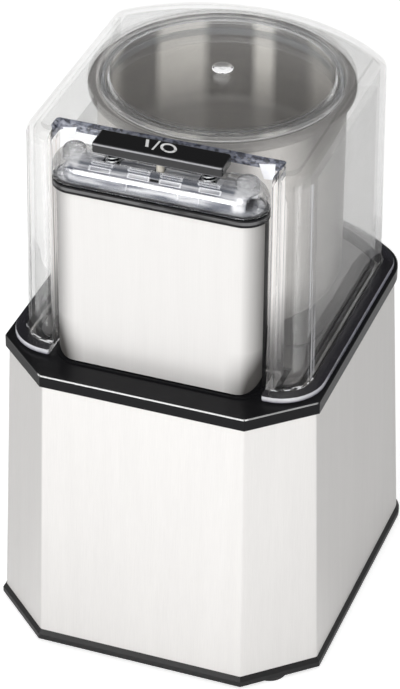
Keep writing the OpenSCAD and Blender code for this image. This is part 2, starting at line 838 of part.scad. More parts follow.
module upper_bracket() {
    boss_r = upper_bearing_r + 3;
    seat_z = upper_plate_z + 2;
    post_r = screw_r + 2.4;
    color("#b8babb") difference() {
        union() {
            translate([0, axis_set, upper_plate_z]) linear_extrude(bracket_plate_t) {
                bracket_arms(mount_set, mount_post_r + 1);
                circle(boss_r + 4);
            }
            translate(axis) rod(boss_r, upper_plate_z, seat_z + upper_bearing_h);
            bolt_circle() rod(post_r, stack_top, upper_plate_z + thin);
        }
        translate(axis) rod(upper_bearing_r + press_gap, seat_z, seat_z + upper_bearing_h + cut);
        translate(axis) rod(motor_shaft_r + 2, upper_plate_z - cut, seat_z + cut);
        bolt_circle() rod(screw_r + hole_clearance, stack_top - cut, upper_plate_z + 2);
        mount_circle() rod(screw_r + hole_clearance, upper_plate_z - cut, upper_plate_z + bracket_plate_t + cut);
    }
}

module lower_bracket() {
    boss_r = lower_bearing_r + 2.5;
    seat_z = motor_z + 1;
    post_r = screw_r + 2.4;
    color("#b8babb") difference() {
        union() {
            translate([0, axis_set, lower_plate_z]) linear_extrude(bracket_plate_t) {
                bracket_arms(bolt_set, 6);
                circle(boss_r + 6);
                square([60, 12], center = true);
            }
            translate(axis) rod(boss_r, motor_z, lower_plate_z + bracket_plate_t);
            bolt_circle() rod(post_r, lower_plate_z, stack_z);
            for (side = [-1, 1]) translate([side * 24 - 4, axis_set - 4.5, lower_plate_z])
                cube([8, 9, brush_z - 4.5 - lower_plate_z]);
        }
        translate(axis) rod(lower_bearing_r + press_gap, seat_z, seat_z + lower_bearing_h);
        translate(axis) rod(lower_bearing_r - 1.5, seat_z + lower_bearing_h - cut, lower_plate_z + 20);
        bolt_circle() rod(screw_r + hole_clearance, lower_plate_z - cut, stack_z + cut);
    }
}

module bearing(r_out, z0, h) {
    mid = (r_out + motor_shaft_r) / 2;
    color("#c4c6c8") translate(axis) difference() {
        ring(r_out, motor_shaft_r + shaft_fit, z0, z0 + h);
        for (z = [z0 - cut, z0 + h - 0.4]) ring(mid + 1.6, mid - 1.6, z, z + cut + 0.4);
    }
}

module upper_bearing() { bearing(upper_bearing_r, upper_plate_z + 2, upper_bearing_h); }
module lower_bearing() { bearing(lower_bearing_r, motor_z + 1, lower_bearing_h); }

brush_tip = commutator_r + seat_gap;

module brush_holders() {
    color("#c9a45c") translate([0, axis_set, brush_z]) for (side = [-1, 1]) difference() {
        translate([side * (brush_tip + 12), 0, 0]) cube([20, 9, 9], center = true);
        translate([side * (brush_tip + 12), 0, 0]) cube([22, 7, 7], center = true);
    }
}

module carbon_brushes() {
    color("#2a2a2c") translate([0, axis_set, brush_z]) for (side = [-1, 1]) difference() {
        translate([side * (brush_tip + 7), 0, 0]) cube([16, 6.8, 6.8], center = true);
        cylinder(r = brush_tip, h = 3 * commutator_l, center = true);
    }
}

module motor_mounts() {
    color("#2a2a2a") mount_circle()
        ring(mount_post_r + 0.5, screw_r + hole_clearance, upper_plate_z + bracket_plate_t, mount_top);
}

module motor_screws() {
    head_h = 1.3 * screw_r;
    color("#8f9092") mount_circle() screw(screw_r, upper_plate_z - head_h, mount_top + mount_screw_reach);
}

module stator_bolts() {
    head_h = 1.3 * screw_r;
    color("#8f9092") bolt_circle() screw(screw_r, lower_plate_z - head_h, upper_plate_z + 1.5);
}

module tie_screws() {
    head_h = 1.3 * tie_r;
    color("#8f9092") for (p = tie_places) translate(p) screw(tie_r, tie_head_z - head_h, top_z - tie_screw_set);
}

module motor_shaft() {
    color("#b4b6b8") translate(axis) {
        rod(motor_shaft_r, motor_z + 1, hex_z - 0.5);
        rod(motor_shaft_r + 1.5, motor_z + 1 + lower_bearing_h, motor_z + 3 + lower_bearing_h);
    }
}

module armature_slot(width, depth) {
    for (i = [0:armature_slots - 1]) rotate(i * 360 / armature_slots)
        translate([armature_r - 1.5 - depth, -width / 2, 0]) children();
}

slot_w = 3;
slot_depth = 9;

module armature_core() {
    color("#7b7e81") translate(axis) difference() {
        ring(armature_r, motor_shaft_r + press_gap, stack_z, stack_top);
        armature_slot(slot_w, slot_depth) translate([0, 0, stack_z - cut])
            cube([slot_depth, slot_w, stack_l + 2 * cut]);
        armature_slot(1.2, slot_depth) translate([slot_depth / 2, 0, stack_z - cut])
            cube([slot_depth, 1.2, stack_l + 2 * cut]);
    }
}

module winding_head(z0, z1) {
    ring(armature_r - 2, motor_shaft_r + 4, z0, z1);
}

module armature_windings() {
    bar_w = slot_w - 0.2;
    bar_d = slot_depth - 0.2;
    color("#c06a2c") translate(axis) {
        winding_head(stack_z - winding_h, stack_z - 0.1);
        winding_head(stack_top + 0.1, stack_top + winding_h);
        armature_slot(bar_w, bar_d) translate([-0.1, 0, stack_z - 1]) cube([bar_d, bar_w, stack_l + 2]);
    }
}

module commutator() {
    bars = 2 * armature_slots;
    color("#b87333") translate(axis) difference() {
        ring(commutator_r, motor_shaft_r + press_gap, commutator_z, commutator_z + commutator_l);
        for (i = [0:bars - 1]) rotate(i * 360 / bars) translate([commutator_r - 1, -0.3, commutator_z - cut])
            cube([2, 0.6, commutator_l + 2 * cut]);
    }
}

module cooling_fan() {
    color("#3a3b3e") translate(axis) difference() {
        union() {
            rod(fan_r, fan_z, fan_z + 1.5);
            rod(10, fan_z, fan_z + fan_h);
            for (i = [0:fan_blades - 1]) rotate(i * 360 / fan_blades) translate([14, 0, fan_z + 1])
                rotate(-28) translate([0, -0.7, 0]) cube([fan_r - 16, 1.4, fan_h - 1]);
        }
        rod(motor_shaft_r + press_gap, fan_z - cut, fan_z + fan_h + cut);
    }
}

module motor_coupling() {
    color("#4a4b4f") translate(axis) difference() {
        union() {
            rod(10, coupling_z, hex_z);
            translate([0, 0, hex_z - thin]) cylinder(r = drive_hex / sqrt(3), h = drive_hex_h + thin, $fn = 6);
        }
        rod(motor_shaft_r + press_gap, coupling_z - cut, hex_z - 0.5);
    }
}

// ---- bowl ----

hub_z = bowl_foot_z - 10;

module bowl() {
    r = bowl_edge_r;
    hole_r = bushing_r + hole_clearance;
    lip_z = bowl_top - bowl_wall;
    color("#bdbdbb") translate(axis) rotate_extrude() difference() {
        union() {
            translate([hole_r, bowl_z]) square([bowl_r - r - hole_r, r]);
            translate([bowl_r - r, bowl_z + r]) intersection() {
                circle(r);
                translate([0, -r]) square(r);
            }
            translate([bowl_r - r, bowl_z + r]) square([r, bowl_h - r]);
            translate([bowl_r - r, lip_z]) square([bowl_rim_r - bowl_bead_r - bowl_r + r, bowl_wall]);
            translate([bowl_rim_r - bowl_bead_r, bowl_top - bowl_bead_r]) circle(bowl_bead_r);
        }
        translate([0, bowl_z + r]) square([bowl_r - bowl_wall, bowl_h]);
        translate([0, bowl_z + bowl_wall]) square([bowl_r - r, r]);
        translate([bowl_r - r, bowl_z + r]) circle(r - bowl_wall);
    }
}

module bowl_base() {
    hub_r = bushing_r + 5;
    color("#1b1b1d") translate(axis) {
        difference() {
            union() {
                rod(foot_ring_r, bowl_foot_z, bowl_z);
                rod(collar_r, bowl_foot_z - collar_h, bowl_foot_z + thin);
            }
            ring(collar_r - collar_wall, hub_r, bowl_foot_z - collar_h - cut, bowl_foot_z - 1);
            rod(hub_r + 1, bowl_foot_z - collar_h - cut, hub_z);
            rod(bushing_r + hole_clearance, hub_z - cut, bowl_z + cut);
        }
        for (a = [0:90:270]) rotate(a) translate([collar_r - 1, -4, bowl_foot_z - collar_h + 1])
            cube([1 + collar_lug, 8, 4]);
    }
}

bushing_top = bowl_z + blade_rise - 4;

module blade_bushing() {
    color("#c79a4b") translate(axis) difference() {
        union() {
            rod(bushing_r, hub_z, bushing_top);
            rod(bushing_r + 4, bowl_z + bowl_wall, bowl_z + bowl_wall + 2.5);
        }
        rod(blade_shaft_r + shaft_fit, hub_z - cut, bushing_top + cut);
        rod(bushing_r - 2, bushing_top - 3.5, bushing_top + cut);
    }
}

module shaft_seal() {
    color("#2b2b2b") translate(axis)
        ring(bushing_r - 2 - press_gap, blade_shaft_r + shaft_fit, bushing_top - 3.5, bushing_top + 0.3);
}

// ---- blade ----

blade_z = bowl_z + blade_rise;
tip_r = 3;
washer_t = 1.2;
socket_top = hex_z + drive_hex_h + 1;

module blade_shaft() {
    color("#b4b6b8") translate(axis) {
        rod(blade_shaft_r, socket_top + 0.4, blade_z - washer_t);
        rod(tip_r, blade_z - washer_t - thin, blade_z + blade_t + 4);
    }
}

module blade_coupling() {
    hub_top = hub_z - 0.6;
    color("#33343a") translate(axis) difference() {
        rod(12, hex_z + 1.5, hub_top);
        translate([0, 0, hex_z]) cylinder(r = (drive_hex + 0.8) / sqrt(3), h = socket_top - hex_z, $fn = 6);
        rod(blade_shaft_r + press_gap, socket_top + 0.4, hub_top + cut);
    }
}

module blade_washer() {
    color("#c4c6c8") translate(axis) ring(7, tip_r + press_gap, blade_z - washer_t, blade_z);
}

module blade() {
    flat_r = blade_r - blade_tip_l;
    tip_x = blade_tip_l * cos(blade_tip_angle);
    tip_z = blade_tip_l * sin(blade_tip_angle);
    color("#cdcfd0") translate(axis + [0, 0, blade_z]) difference() {
        for (a = [0, 180]) rotate(a) intersection() {
            linear_extrude(blade_r) polygon([
                [-blade_w / 2, -blade_w / 2], [0.5 * flat_r, -blade_w / 2], [flat_r + tip_x, -blade_w / 2 + 3.5],
                [flat_r + tip_x - 2.5, 0.12 * blade_w], [flat_r, 0.22 * blade_w],
                [0.45 * flat_r, blade_w / 2], [-blade_w / 2, blade_w / 2]]);
            translate([0, blade_w, 0]) rotate([90, 0, 0]) linear_extrude(2 * blade_w) polygon([
                [-blade_w / 2, 0], [flat_r, 0], [flat_r + tip_x, tip_z],
                [flat_r + tip_x - blade_t * sin(blade_tip_angle), tip_z + blade_t * cos(blade_tip_angle)],
                [flat_r - blade_t * tan(blade_tip_angle / 2), blade_t], [-blade_w / 2, blade_t]]);
        }
        rod(tip_r + press_gap, -cut, blade_t + cut);
    }
}

module blade_nut() {
    nut_z = blade_z + blade_t;
    color("#d6d7d8") translate(axis) difference() {
        union() {
            translate([0, 0, nut_z]) cylinder(r = 6.4, h = 4, $fn = 6);
            translate([0, 0, nut_z + 3.2]) intersection() {
                sphere(5);
                rod(5, 0, 5);
            }
        }
        rod(tip_r + press_gap, nut_z - cut, nut_z + 4.2);
    }
}

// ---- lid ----

// The lid's form with its rounded top edges; d makes the same form smaller all round
module lid_form(d, z0, z1) {
    r = lid_edge_r - d;
    hull() {
        block(inset(lid_foot, d), z0, z0 + thin);
        for (a = [0:15:90])
            block(inset(lid_head, d + r * (1 - cos(a))), z1 - r + r * sin(a) - thin, z1 - r + r * sin(a));
    }
}

module notch_block(d, z0, z1) {
    translate([-notch_w / 2 - d, lid_front - 20, z0]) cube([notch_w + 2 * d, notch_back - lid_front + 20 + d, z1 - z0]);
}

stake_r = 2.5;

module lid_shell() {
    color("#dfe6ea", 0.35) difference() {
        union() {
            difference() {
                lid_form(0, lid_z + thin, lid_top);
                notch_block(0, lid_z - cut, lid_top + cut);
            }
            difference() {
                block(lid_flange, lid_z, lid_z + flange_t);
                translate([0, 0, lid_z - cut]) linear_extrude(flange_t + 2 * cut)
                    translate([-flange_gap_w / 2, lid_front - 20]) square([flange_gap_w, notch_back - lid_front + 20]);
            }
        }
        difference() {
            lid_form(lid_wall, lid_z - cut, lid_top - lid_top_t);
            notch_block(notch_wall, lid_z - 2 * cut, lid_top);
        }
        translate(axis) rod(stake_r + hole_clearance, lid_top - lid_top_t - cut, lid_top + cut);
    }
}

plug_top = lid_top - lid_top_t;
plug_r = bowl_r - bowl_wall - 1.1;

module bowl_plug() {
    color("#e4eaee", 0.35) translate(axis) {
        difference() {
            union() {
                rod(bowl_r, plug_top - plug_t, plug_top);
                rod(plug_r, plug_top - plug_t - plug_depth, plug_top - plug_t + thin);
            }
            rod(plug_r - plug_t, plug_top - plug_t - plug_depth - cut, plug_top - plug_t);
            ring(plug_r + cut, plug_r - 1, plug_top - plug_t - 7, plug_top - plug_t - 4);
        }
        rod(stake_r, plug_top - thin, lid_top + thin);
        translate([0, 0, lid_top]) rotate_extrude() intersection() {
            translate([0, -4]) circle(5.6);
            square([10, 10]);
        }
    }
}

module plug_seal() {
    color("#c9ced2") translate(axis)
        ring(plug_r + 0.7, plug_r - 1 + press_gap, plug_top - plug_t - 7, plug_top - plug_t - 4);
}

boss_top = nose_top + 0.9;
wing_x = nose_half - nose_r;
boss_y = nose_y + 0.2;
base_hole_r = guide_r + 1.1;
slot_gap = 0.5;
spring_r = guide_r + 0.9;
pocket_z = slot_z - 3.3;
clip_z = pocket_z - 3;
base_screw_z = column_top + lift_gap + 0.4;

module button_base() {
    z0 = column_top + lift_gap;
    color("#101012") difference() {
        union() {
            translate([0, 0, z0]) linear_extrude(button_base_t - 0.8) nose_section(0);
            translate([0, 0, z0 + button_base_t - 0.8 - thin]) linear_extrude(0.8 + thin) nose_section(0.7);
        }
        for (x = [-guide_x, guide_x]) translate([x, button_y, 0]) rod(base_hole_r, z0 - cut, nose_z + cut);
        translate([0, nose_y, 0]) rod(plunger_r + 0.4, z0 - cut, nose_z + cut);
        for (side = [-1, 1]) translate([side * boss_x, boss_y, 0]) {
            rod(screw_r + hole_clearance, z0 - cut, nose_z + cut);
            rod(1.9 * screw_r + 0.3, z0 - cut, base_screw_z + 1.3 * screw_r);
        }
    }
}

module button_housing() {
    wing_y = nose_back - 3;
    dome_h = 2.6;
    dome_r = 0.5 * (boss_r * boss_r / dome_h + dome_h);
    cavity_top = slot_z - nose_wall;
    color("#dfe6ea", 0.35) difference() {
        union() {
            difference() {
                nose_bar(nose_r, nose_edge_r, nose_z, nose_top);
                translate([0, 0, nose_z - cut]) linear_extrude(cavity_top + cut - nose_z) nose_section(nose_wall);
            }
            for (x = [-guide_x, guide_x]) translate([x, button_y, 0]) rod(spring_r + 2, nose_z, slot_z - thin);
            for (side = [-1, 1]) translate([side * boss_x, boss_y, 0]) {
                rod(boss_r, nose_z, boss_top - dome_h);
                translate([0, 0, boss_top - dome_h - thin]) rotate_extrude() intersection() {
                    translate([0, dome_h - dome_r]) circle(dome_r);
                    square([boss_r, dome_h]);
                }
            }
            translate([-wing_x, wing_y, nose_z]) cube([2 * wing_x, notch_back - wing_y, nose_h - 1]);
        }
        for (x = [-guide_x, guide_x]) translate([x, button_y, 0]) {
            rod(guide_r + hole_clearance, nose_z - cut, nose_top + cut);
            rod(base_hole_r, nose_z - cut, clip_z);
            rod(spring_r + 0.8, pocket_z, nose_top + cut);
        }
        translate([-button_l / 2 - slot_gap, button_y - button_d / 2 - slot_gap, slot_z])
            cube([button_l + 2 * slot_gap, button_d + 2 * slot_gap, nose_top - slot_z + cut]);
        translate([0, nose_y, 0]) rod(plunger_r + 0.4, nose_z - cut, nose_top + cut);
        for (side = [-1, 1]) translate([side * boss_x, boss_y, 0])
            rod(screw_r + hole_clearance, nose_z - cut, nose_z + 8);
        window_recesses();
    }
}

// A row of shallow windows in the housing's front edge, in front of the button
module window_recesses() {
    window_w = 10;
    for (i = [-1.5:1:1.5]) translate([i * 15 - window_w / 2, nose_front + 3.4, nose_top - 0.6])
        cube([window_w, 1.2, 3]);
}

module housing_screws() {
    color("#8f9092") for (side = [-1, 1]) translate([side * boss_x, boss_y, 0])
        screw(screw_r, base_screw_z, nose_z + 7);
}

clip_t = 0.8;

module button_springs() {
    color("#d3d4d6") for (x = [-guide_x, guide_x]) translate([x, button_y, 0])
        coil(spring_r, 0.4, 4, pocket_z, button_z);
}

module push_button() {
    edge = 0.8;
    half = button_l / 2;
    front = button_y - button_d / 2;
    color("#0d0d0f") {
        hull() {
            translate([-half, front, button_z + edge]) cube([button_l, button_d, button_t - 2 * edge]);
            translate([-half + edge, front + edge, button_z]) cube([button_l - 2 * edge, button_d - 2 * edge, button_t]);
        }
        for (x = [-guide_x, guide_x]) translate([x, button_y, 0]) rod(guide_r, clip_z - clip_t, button_z + thin);
        translate([0, nose_y, 0]) rod(plunger_r, plunger_top + 0.5, button_z + thin);
    }
}

module button_clips() {
    color("#8f9092") for (x = [-guide_x, guide_x]) translate([x, button_y, 0])
        rod(guide_r + 0.8, clip_z - 2 * clip_t, clip_z - clip_t);
}

base_tray();
foot_front_left();
foot_front_right();
foot_rear_left();
foot_rear_right();
housing_shell();
cord_gland();
top_deck();
deck_plate();
bowl_seat();
column_frame();
column_cover();
column_screws();
switch_bracket();
bracket_screws();
micro_switch();
lever_pin();
switch_lever();
switch_pin();
switch_plunger();
plunger_spring();
stator_core();
field_coils();
upper_bracket();
lower_bracket();
upper_bearing();
lower_bearing();
brush_holders();
carbon_brushes();
motor_mounts();
motor_screws();
stator_bolts();
tie_screws();
motor_shaft();
armature_core();
armature_windings();
commutator();
cooling_fan();
motor_coupling();
bowl();
bowl_base();
blade_bushing();
shaft_seal();
blade_shaft();
blade_coupling();
blade_washer();
blade();
blade_nut();
lid_shell();
bowl_plug();
plug_seal();
button_base();
button_housing();
housing_screws();
button_springs();
push_button();
button_clips();
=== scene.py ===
"""Electric spice grinder: the visible pieces and their finishes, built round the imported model."""

import math

import bmesh
import bpy
from mathutils import Matrix, Vector


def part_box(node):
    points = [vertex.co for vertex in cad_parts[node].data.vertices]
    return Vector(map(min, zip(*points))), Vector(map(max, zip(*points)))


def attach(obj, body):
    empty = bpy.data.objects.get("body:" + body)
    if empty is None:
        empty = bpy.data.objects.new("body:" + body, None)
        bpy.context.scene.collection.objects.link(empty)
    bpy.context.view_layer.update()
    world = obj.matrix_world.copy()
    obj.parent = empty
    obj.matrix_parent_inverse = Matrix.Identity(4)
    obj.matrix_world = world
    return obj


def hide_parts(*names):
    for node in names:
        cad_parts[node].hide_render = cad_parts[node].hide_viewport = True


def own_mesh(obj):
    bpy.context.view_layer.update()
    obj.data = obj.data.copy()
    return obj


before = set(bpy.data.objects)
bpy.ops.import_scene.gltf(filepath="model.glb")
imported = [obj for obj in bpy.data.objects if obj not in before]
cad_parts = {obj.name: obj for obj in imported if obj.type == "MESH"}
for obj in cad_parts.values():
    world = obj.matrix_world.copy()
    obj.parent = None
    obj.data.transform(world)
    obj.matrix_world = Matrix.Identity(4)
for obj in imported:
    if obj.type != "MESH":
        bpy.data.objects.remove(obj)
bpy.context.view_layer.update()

bl_info = {
    "name": "Spice grinder",
    "version": (1, 0, 0),
    "blender": (4, 5, 0),
    "location": "View3D > Sidebar > Grinder",
    "description": "Builds the visible pieces of a spice grinder and their finishes",
    "category": "Object",
}

MM = 0.001
TO_MM = 1000
MOTOR_SHEET = 0.0006  # the thickness of a motor sheet, in metres
MOTOR_WIRE = 0.0007  # the thickness of the motor's wire, in metres
TAU = 2 * math.pi
SHARP = math.radians(32)


# ---- shader arithmetic ----


def operator(operation):
    """An operator on values, and its reflected form."""
    return (
        lambda self, other: self.graph.math(operation, self, other),
        lambda self, other: self.graph.math(operation, other, self),
    )


class Value:
    """A number that changes over a surface. Arithmetic on it adds Math nodes."""

    __add__, __radd__ = operator("ADD")
    __sub__, __rsub__ = operator("SUBTRACT")
    __mul__, __rmul__ = operator("MULTIPLY")
    __pow__, __rpow__ = operator("POWER")

    def __init__(self, graph, socket):
        self.graph = graph
        self.socket = socket

    def output(self, key):
        """Another output of the node that gives this value."""
        return Value(self.graph, self.socket.node.outputs[key])


class Finish:
    """A material and the nodes that make it."""

    def __init__(self, name):
        self.material = bpy.data.materials.new(name)
        self.material.use_nodes = True
        self.start(self.material.node_tree, "ShaderNodeOutputMaterial")

    def start(self, tree, output):
        """Empties a node tree but for its output."""
        self.tree = tree
        self.tree.nodes.clear()
        self.end = self.tree.nodes.new(output)

    def node(self, kind, settings=None, sockets=None, out=0):
        """Adds a node, sets it up, and feeds its sockets with values, numbers or colours."""
        made = self.tree.nodes.new(kind)
        for key, setting in (settings or {}).items():
            setattr(made, key, setting)
        for key, given in (sockets or {}).items():
            socket = made.inputs[key]
            if isinstance(given, Value):
                self.tree.links.new(given.socket, socket)
            else:
                socket.default_value = rgba(given) if socket.type == "RGBA" else given
        return Value(self, made.outputs[out])

    def math(self, operation, *terms):
        return self.node("ShaderNodeMath", {"operation": operation}, dict(enumerate(terms)))

    def axes(self, point=None):
        """The three coordinates of a point, by default the one on the object, in metres."""
        point = point or self.node("ShaderNodeTexCoord", out="Object")
        split = self.node("ShaderNodeSeparateXYZ", sockets={0: point})
        return [split.output(i) for i in range(3)]

    def from_axis(self):
        """The point on the object, from the bowl's upright axis."""
        x, y, z = self.axes()
        return x, y - AXIS_Y * MM, z

    def bearing(self, flip=1):
        """The angle round the bowl's axis, in degrees: 0 towards the rear, or the front with flip -1."""
        x, y, _ = self.from_axis()
        return self.math("ARCTAN2", x, y * flip) * (360 / TAU)

    def way_point(self, way):
        """Where a grain is looked up: evenly, stretched by three factors, or run round the bowl's axis by two."""
        if way is None:
            return self.node("ShaderNodeTexCoord", out="Object")
        if len(way) == 3:
            parts = [axis * factor for axis, factor in zip(self.axes(), way)]
        else:
            turn_scale, rest_scale = way
            x, y, z = self.from_axis()
            radius = (x * x + y * y) ** 0.5
            parts = [radius * rest_scale, z * rest_scale, self.math("ARCTAN2", y, x) * turn_scale]
        return self.node("ShaderNodeCombineXYZ", sockets=dict(enumerate(parts)))

    def grain(self, scale, detail=2, roughness=0.5, way=None):
        """Noise over the object."""
        sockets = {"Vector": self.way_point(way), "Scale": scale, "Detail": detail, "Roughness": roughness}
        return self.node("ShaderNodeTexNoise", sockets=sockets)

    def ramp(self, value, low, high):
        """Maps low..high to 0..1 and holds the ends."""
        return self.node("ShaderNodeMapRange", {"clamp": True}, {0: value, 1: low, 2: high, 3: 0.0, 4: 1.0})

    def pulse(self, value, centre, half, soft):
        """1 within half of a centre, falling to 0 over soft."""
        return self.ramp(self.math("ABSOLUTE", value - centre), half + soft, half)

    def blend(self, mask, first, second):
        """Colour first where the mask is 0, second where it is 1."""
        return self.node("ShaderNodeMix", {"data_type": "RGBA"}, {0: mask, 6: first, 7: second}, out=2)

    def bump(self, height, strength, depth):
        return self.node("ShaderNodeBump", sockets={"Strength": strength, "Distance": depth, "Height": height})

    def rays(self, *kinds):
        """Whether the light path is of each kind, such as Camera or Shadow."""
        path = self.node("ShaderNodeLightPath")
        return [path.output(f"Is {kind} Ray") for kind in kinds]

    def away(self):
        """0 where the surface faces the eye, 1 where it turns away."""
        return self.node("ShaderNodeLayerWeight", out="Facing")

    def skin(self, **sockets):
        """A plain shader: names with _ stand for sockets with a space."""
        named = {key.replace("_", " "): given for key, given in sockets.items()}
        return self.node("ShaderNodeBsdfPrincipled", sockets=named)

    def mixed(self, share, first, second):
        return self.node("ShaderNodeMixShader", sockets={0: share, 1: first, 2: second})

    def close(self, shader):
        self.tree.links.new(shader.socket, self.end.inputs[0])

    def surface(self, **sockets):
        """The whole finish from one plain shader."""
        self.close(self.skin(**sockets))


class Room(Finish):
    """A world and the nodes that make it."""

    def __init__(self, world):
        world.use_nodes = True
        self.start(world.node_tree, "ShaderNodeOutputWorld")


def rgba(given):
    """A full colour from a colour, or from a number that is its grey."""
    return (given, given, given, 1.0) if isinstance(given, (int, float)) else (*given[:3], 1.0)


def shade(colour, factor):
    return [c * factor for c in colour[:3]]


# ---- finishes ----

finishes = {}


def finish(name):
    """The finish of that name, made once."""
    if name not in finishes:
        finishes[name] = Finish(name)
        FINISHES[name](finishes[name])
    return finishes[name].material


def grained(noise, dark, light, rough, bump, way=None, relief=None, rough_relief=False, glow=None, **rest):
    """A finish whose colour, roughness and bump follow one grain.

    noise is its scale, detail and roughness; rough is the base and what the grain adds; bump is its strength
    and depth. relief makes another grain for the bump, and with rough_relief for the roughness too. glow is the
    dark and the light of what it gives off; rest is the same all over.
    """

    def make(f):
        grain = f.grain(*noise, way=way)
        raised = relief(f) if relief else grain
        if glow:
            rest["Emission_Color"] = f.blend(grain, *glow)
        f.surface(
            Base_Color=f.blend(grain, dark, light),
            Roughness=rough[0] + (raised if rough_relief else grain) * rough[1],
            Normal=f.bump(raised, *bump),
            **rest,
        )

    return make


def metal(*grain, **rest):
    return grained(*grain, Metallic=1.0, **rest)


def brushed_sheet(worn, metallic, paint_shade):
    """Sheet steel with fine upright brushing: worn is its darker tone, and the last argument may paint shade onto
    its colour.
    """

    def make(f):
        look = bpy.context.scene.grinder_metal
        fine = f.grain(2600, 2, 0.6, (1, 1, 0.012))
        broad = f.grain(190, 3, 0.5, (1, 1, 0.05))
        tone = f.ramp(fine * 0.6 + broad * 0.4, 0.35, 0.65)
        f.surface(
            Base_Color=paint_shade(f, f.blend(tone, shade(look.steel, worn), look.steel)),
            Metallic=look.steel_metallic if metallic is None else metallic,
            Roughness=look.steel_roughness + fine * 0.08,
            Normal=f.bump(fine, 0.12, 0.0002),
        )

    return make


def column_painted_shade(f, sheet):
    """Painted shade on the column's cover: its colour darkens as it turns into its edges and its foot's corners.
    """
    x, _, z = f.axes()
    edge = 0.0478
    left = f.ramp(x * -1, 0.037, edge)
    right = f.ramp(x, 0.0405, edge)
    foot = f.ramp(z - low("column_cover").z * MM, 0.022, 0.0) * f.ramp((x * x) ** 0.5, 0.033, 0.044)
    return f.blend(f.ramp(left * 0.6 + right * 0.66 + foot, 0.0, 1.0), sheet, (0.1, 0.095, 0.09))


# Fans of light across the bowl: the bearing of each, half its width, its soft edge and its strength.
FANS = ((-40, 10, 5, 0.9), (1, 3, 4, 1.0), (38, 6, 8, 0.4), (-86, 4, 8, 0.45))
# Distances from the bowl's axis, in metres: from the inner wall to the outer one, and on to the rolled rim.
OUTWARD = (0.0552, 0.0556)
TO_RIM = (0.0563, 0.0568)


def brushed_round(f):
    """Spun steel with brushing that runs round the bowl's axis, painted fans of light across it that also give off
    light inside, and a painted lighter front outside.
    """
    look = bpy.context.scene.grinder_metal
    fine = f.grain(1.0, 2, 0.6, (1.2, 1500.0))
    broad = f.grain(1.0, 3, 0.5, (0.4, 150.0))
    patches = f.ramp(broad, 0.3, 0.7)
    x, y, z = f.from_axis()
    radius = (x * x + y * y) ** 0.5
    bearing = f.bearing()
    fan = sum(f.pulse(bearing, *place) * strength for *place, strength in FANS)
    light = fan * (f.ramp(z, 0.212, 0.236) * 0.93 + 0.07)
    inside = f.blend(light + patches * 0.12 + f.ramp(fine, 0.3, 0.7) * 0.1, look.bowl, (0.95, 0.93, 0.88))
    # Painted highlight: the outside is lighter towards the front and high up.
    front = f.ramp(f.bearing(-1), 66, 44) + patches * 0.1
    outside = f.blend(front * f.ramp(z, 0.158, 0.18), shade(look.bowl, 0.8), (0.98, 0.95, 0.91))
    walls = f.blend(f.ramp(radius, *OUTWARD), inside, outside)
    rim = f.blend(fine, shade(look.bowl, 0.6), shade(look.bowl, 0.95))
    # Painted glint: the fans on the inner wall give off light, and are less metallic so the lamps light them more.
    glint = light * f.ramp(radius, *reversed(OUTWARD)) * (fine * 0.5 + 0.75)
    f.surface(
        Base_Color=f.blend(f.ramp(radius, *TO_RIM), walls, rim),
        Emission_Color=f.blend(glint, 0, (0.3, 0.288, 0.265)),
        Emission_Strength=1.0,
        Metallic=0.4 - fan * 0.4,
        Roughness=0.28 + fine * 0.1,
        Normal=f.bump(fine, 0.08, 0.0002),
    )


def black_gloss(f):
    """Polished black moulding with a faint flow in its surface."""
    look = bpy.context.scene.grinder_plastic
    flow, fine = f.grain(60), f.grain(900)
    f.surface(
        Base_Color=f.blend(flow, look.black, shade(look.black, 1.35)),
        Roughness=look.gloss_roughness + fine * 0.06,
        Specular_IOR_Level=0.1,
        Normal=f.bump(flow * 0.8 + fine * 0.2, 0.025, 0.0006),
    )


def bar_black(f):
    """The push bar's polished black, with painted highlights: pale lines along its front edges."""
    look = bpy.context.scene.grinder_plastic
    flow, fine = f.grain(60), f.grain(900)
    _, y, z = f.axes()
    # Painted highlights: pale lines near the top and the bottom of the front face.
    front = f.ramp(y * TO_MM - BAR_LOW.y, 1.0, 0.3)
    sunk = BAR_HIGH.z - z * TO_MM
    lines = f.pulse(sunk, 0.9, 0.15, 0.35) * 0.9 + f.pulse(sunk, 5.2, 0.15, 0.3) * 0.7 + 0.03
    f.surface(
        Base_Color=f.blend(front * lines * (flow * 0.4 + 0.8), look.black, (0.4, 0.4, 0.42)),
        Roughness=look.gloss_roughness + fine * 0.06,
        Specular_IOR_Level=0.4,
        Normal=f.bump(flow * 0.7 + fine * 0.3, 0.04, 0.0006),
    )


def deck_edge(f):
    """The deck's tight top edge, which catches the light at the front."""
    grain = f.grain(120)
    x, y, _ = f.axes()
    # Painted highlight: pale at the front and greyer on the right chamfer.
    front = f.ramp(y, -0.0885, -0.0893)
    cut = f.ramp(x, 0.046, 0.05) * f.ramp(x, 0.0745, 0.074)
    f.surface(
        Base_Color=f.blend(front * 0.95 + cut * (0.35 + grain * 0.2), (0.02, 0.02, 0.021), 0.93),
        Roughness=0.12 + grain * 0.05,
        Specular_IOR_Level=0.3,
        Normal=f.bump(grain, 0.05, 0.0003),
    )


def band_black(f):
    """The black band over the column: satin, with a painted grey sheen on its face, and dark on its top edge."""
    flow = f.grain(220, way=(0.3, 1, 1))
    level = f.axes()[2] * TO_MM - high("button_base").z
    # Painted sheen: the face is painted grey for the light it catches.
    grey = f.blend(f.ramp(flow, 0.35, 0.6), (0.05, 0.05, 0.051), (0.16, 0.16, 0.163))
    f.surface(
        Base_Color=f.blend(f.pulse(level, -2.3, 0.6, 0.25), (0.008, 0.008, 0.009), grey),
        Roughness=0.22 + flow * 0.1,
        Specular_IOR_Level=0.18,
        Normal=f.bump(flow, 0.06, 0.0003),
    )


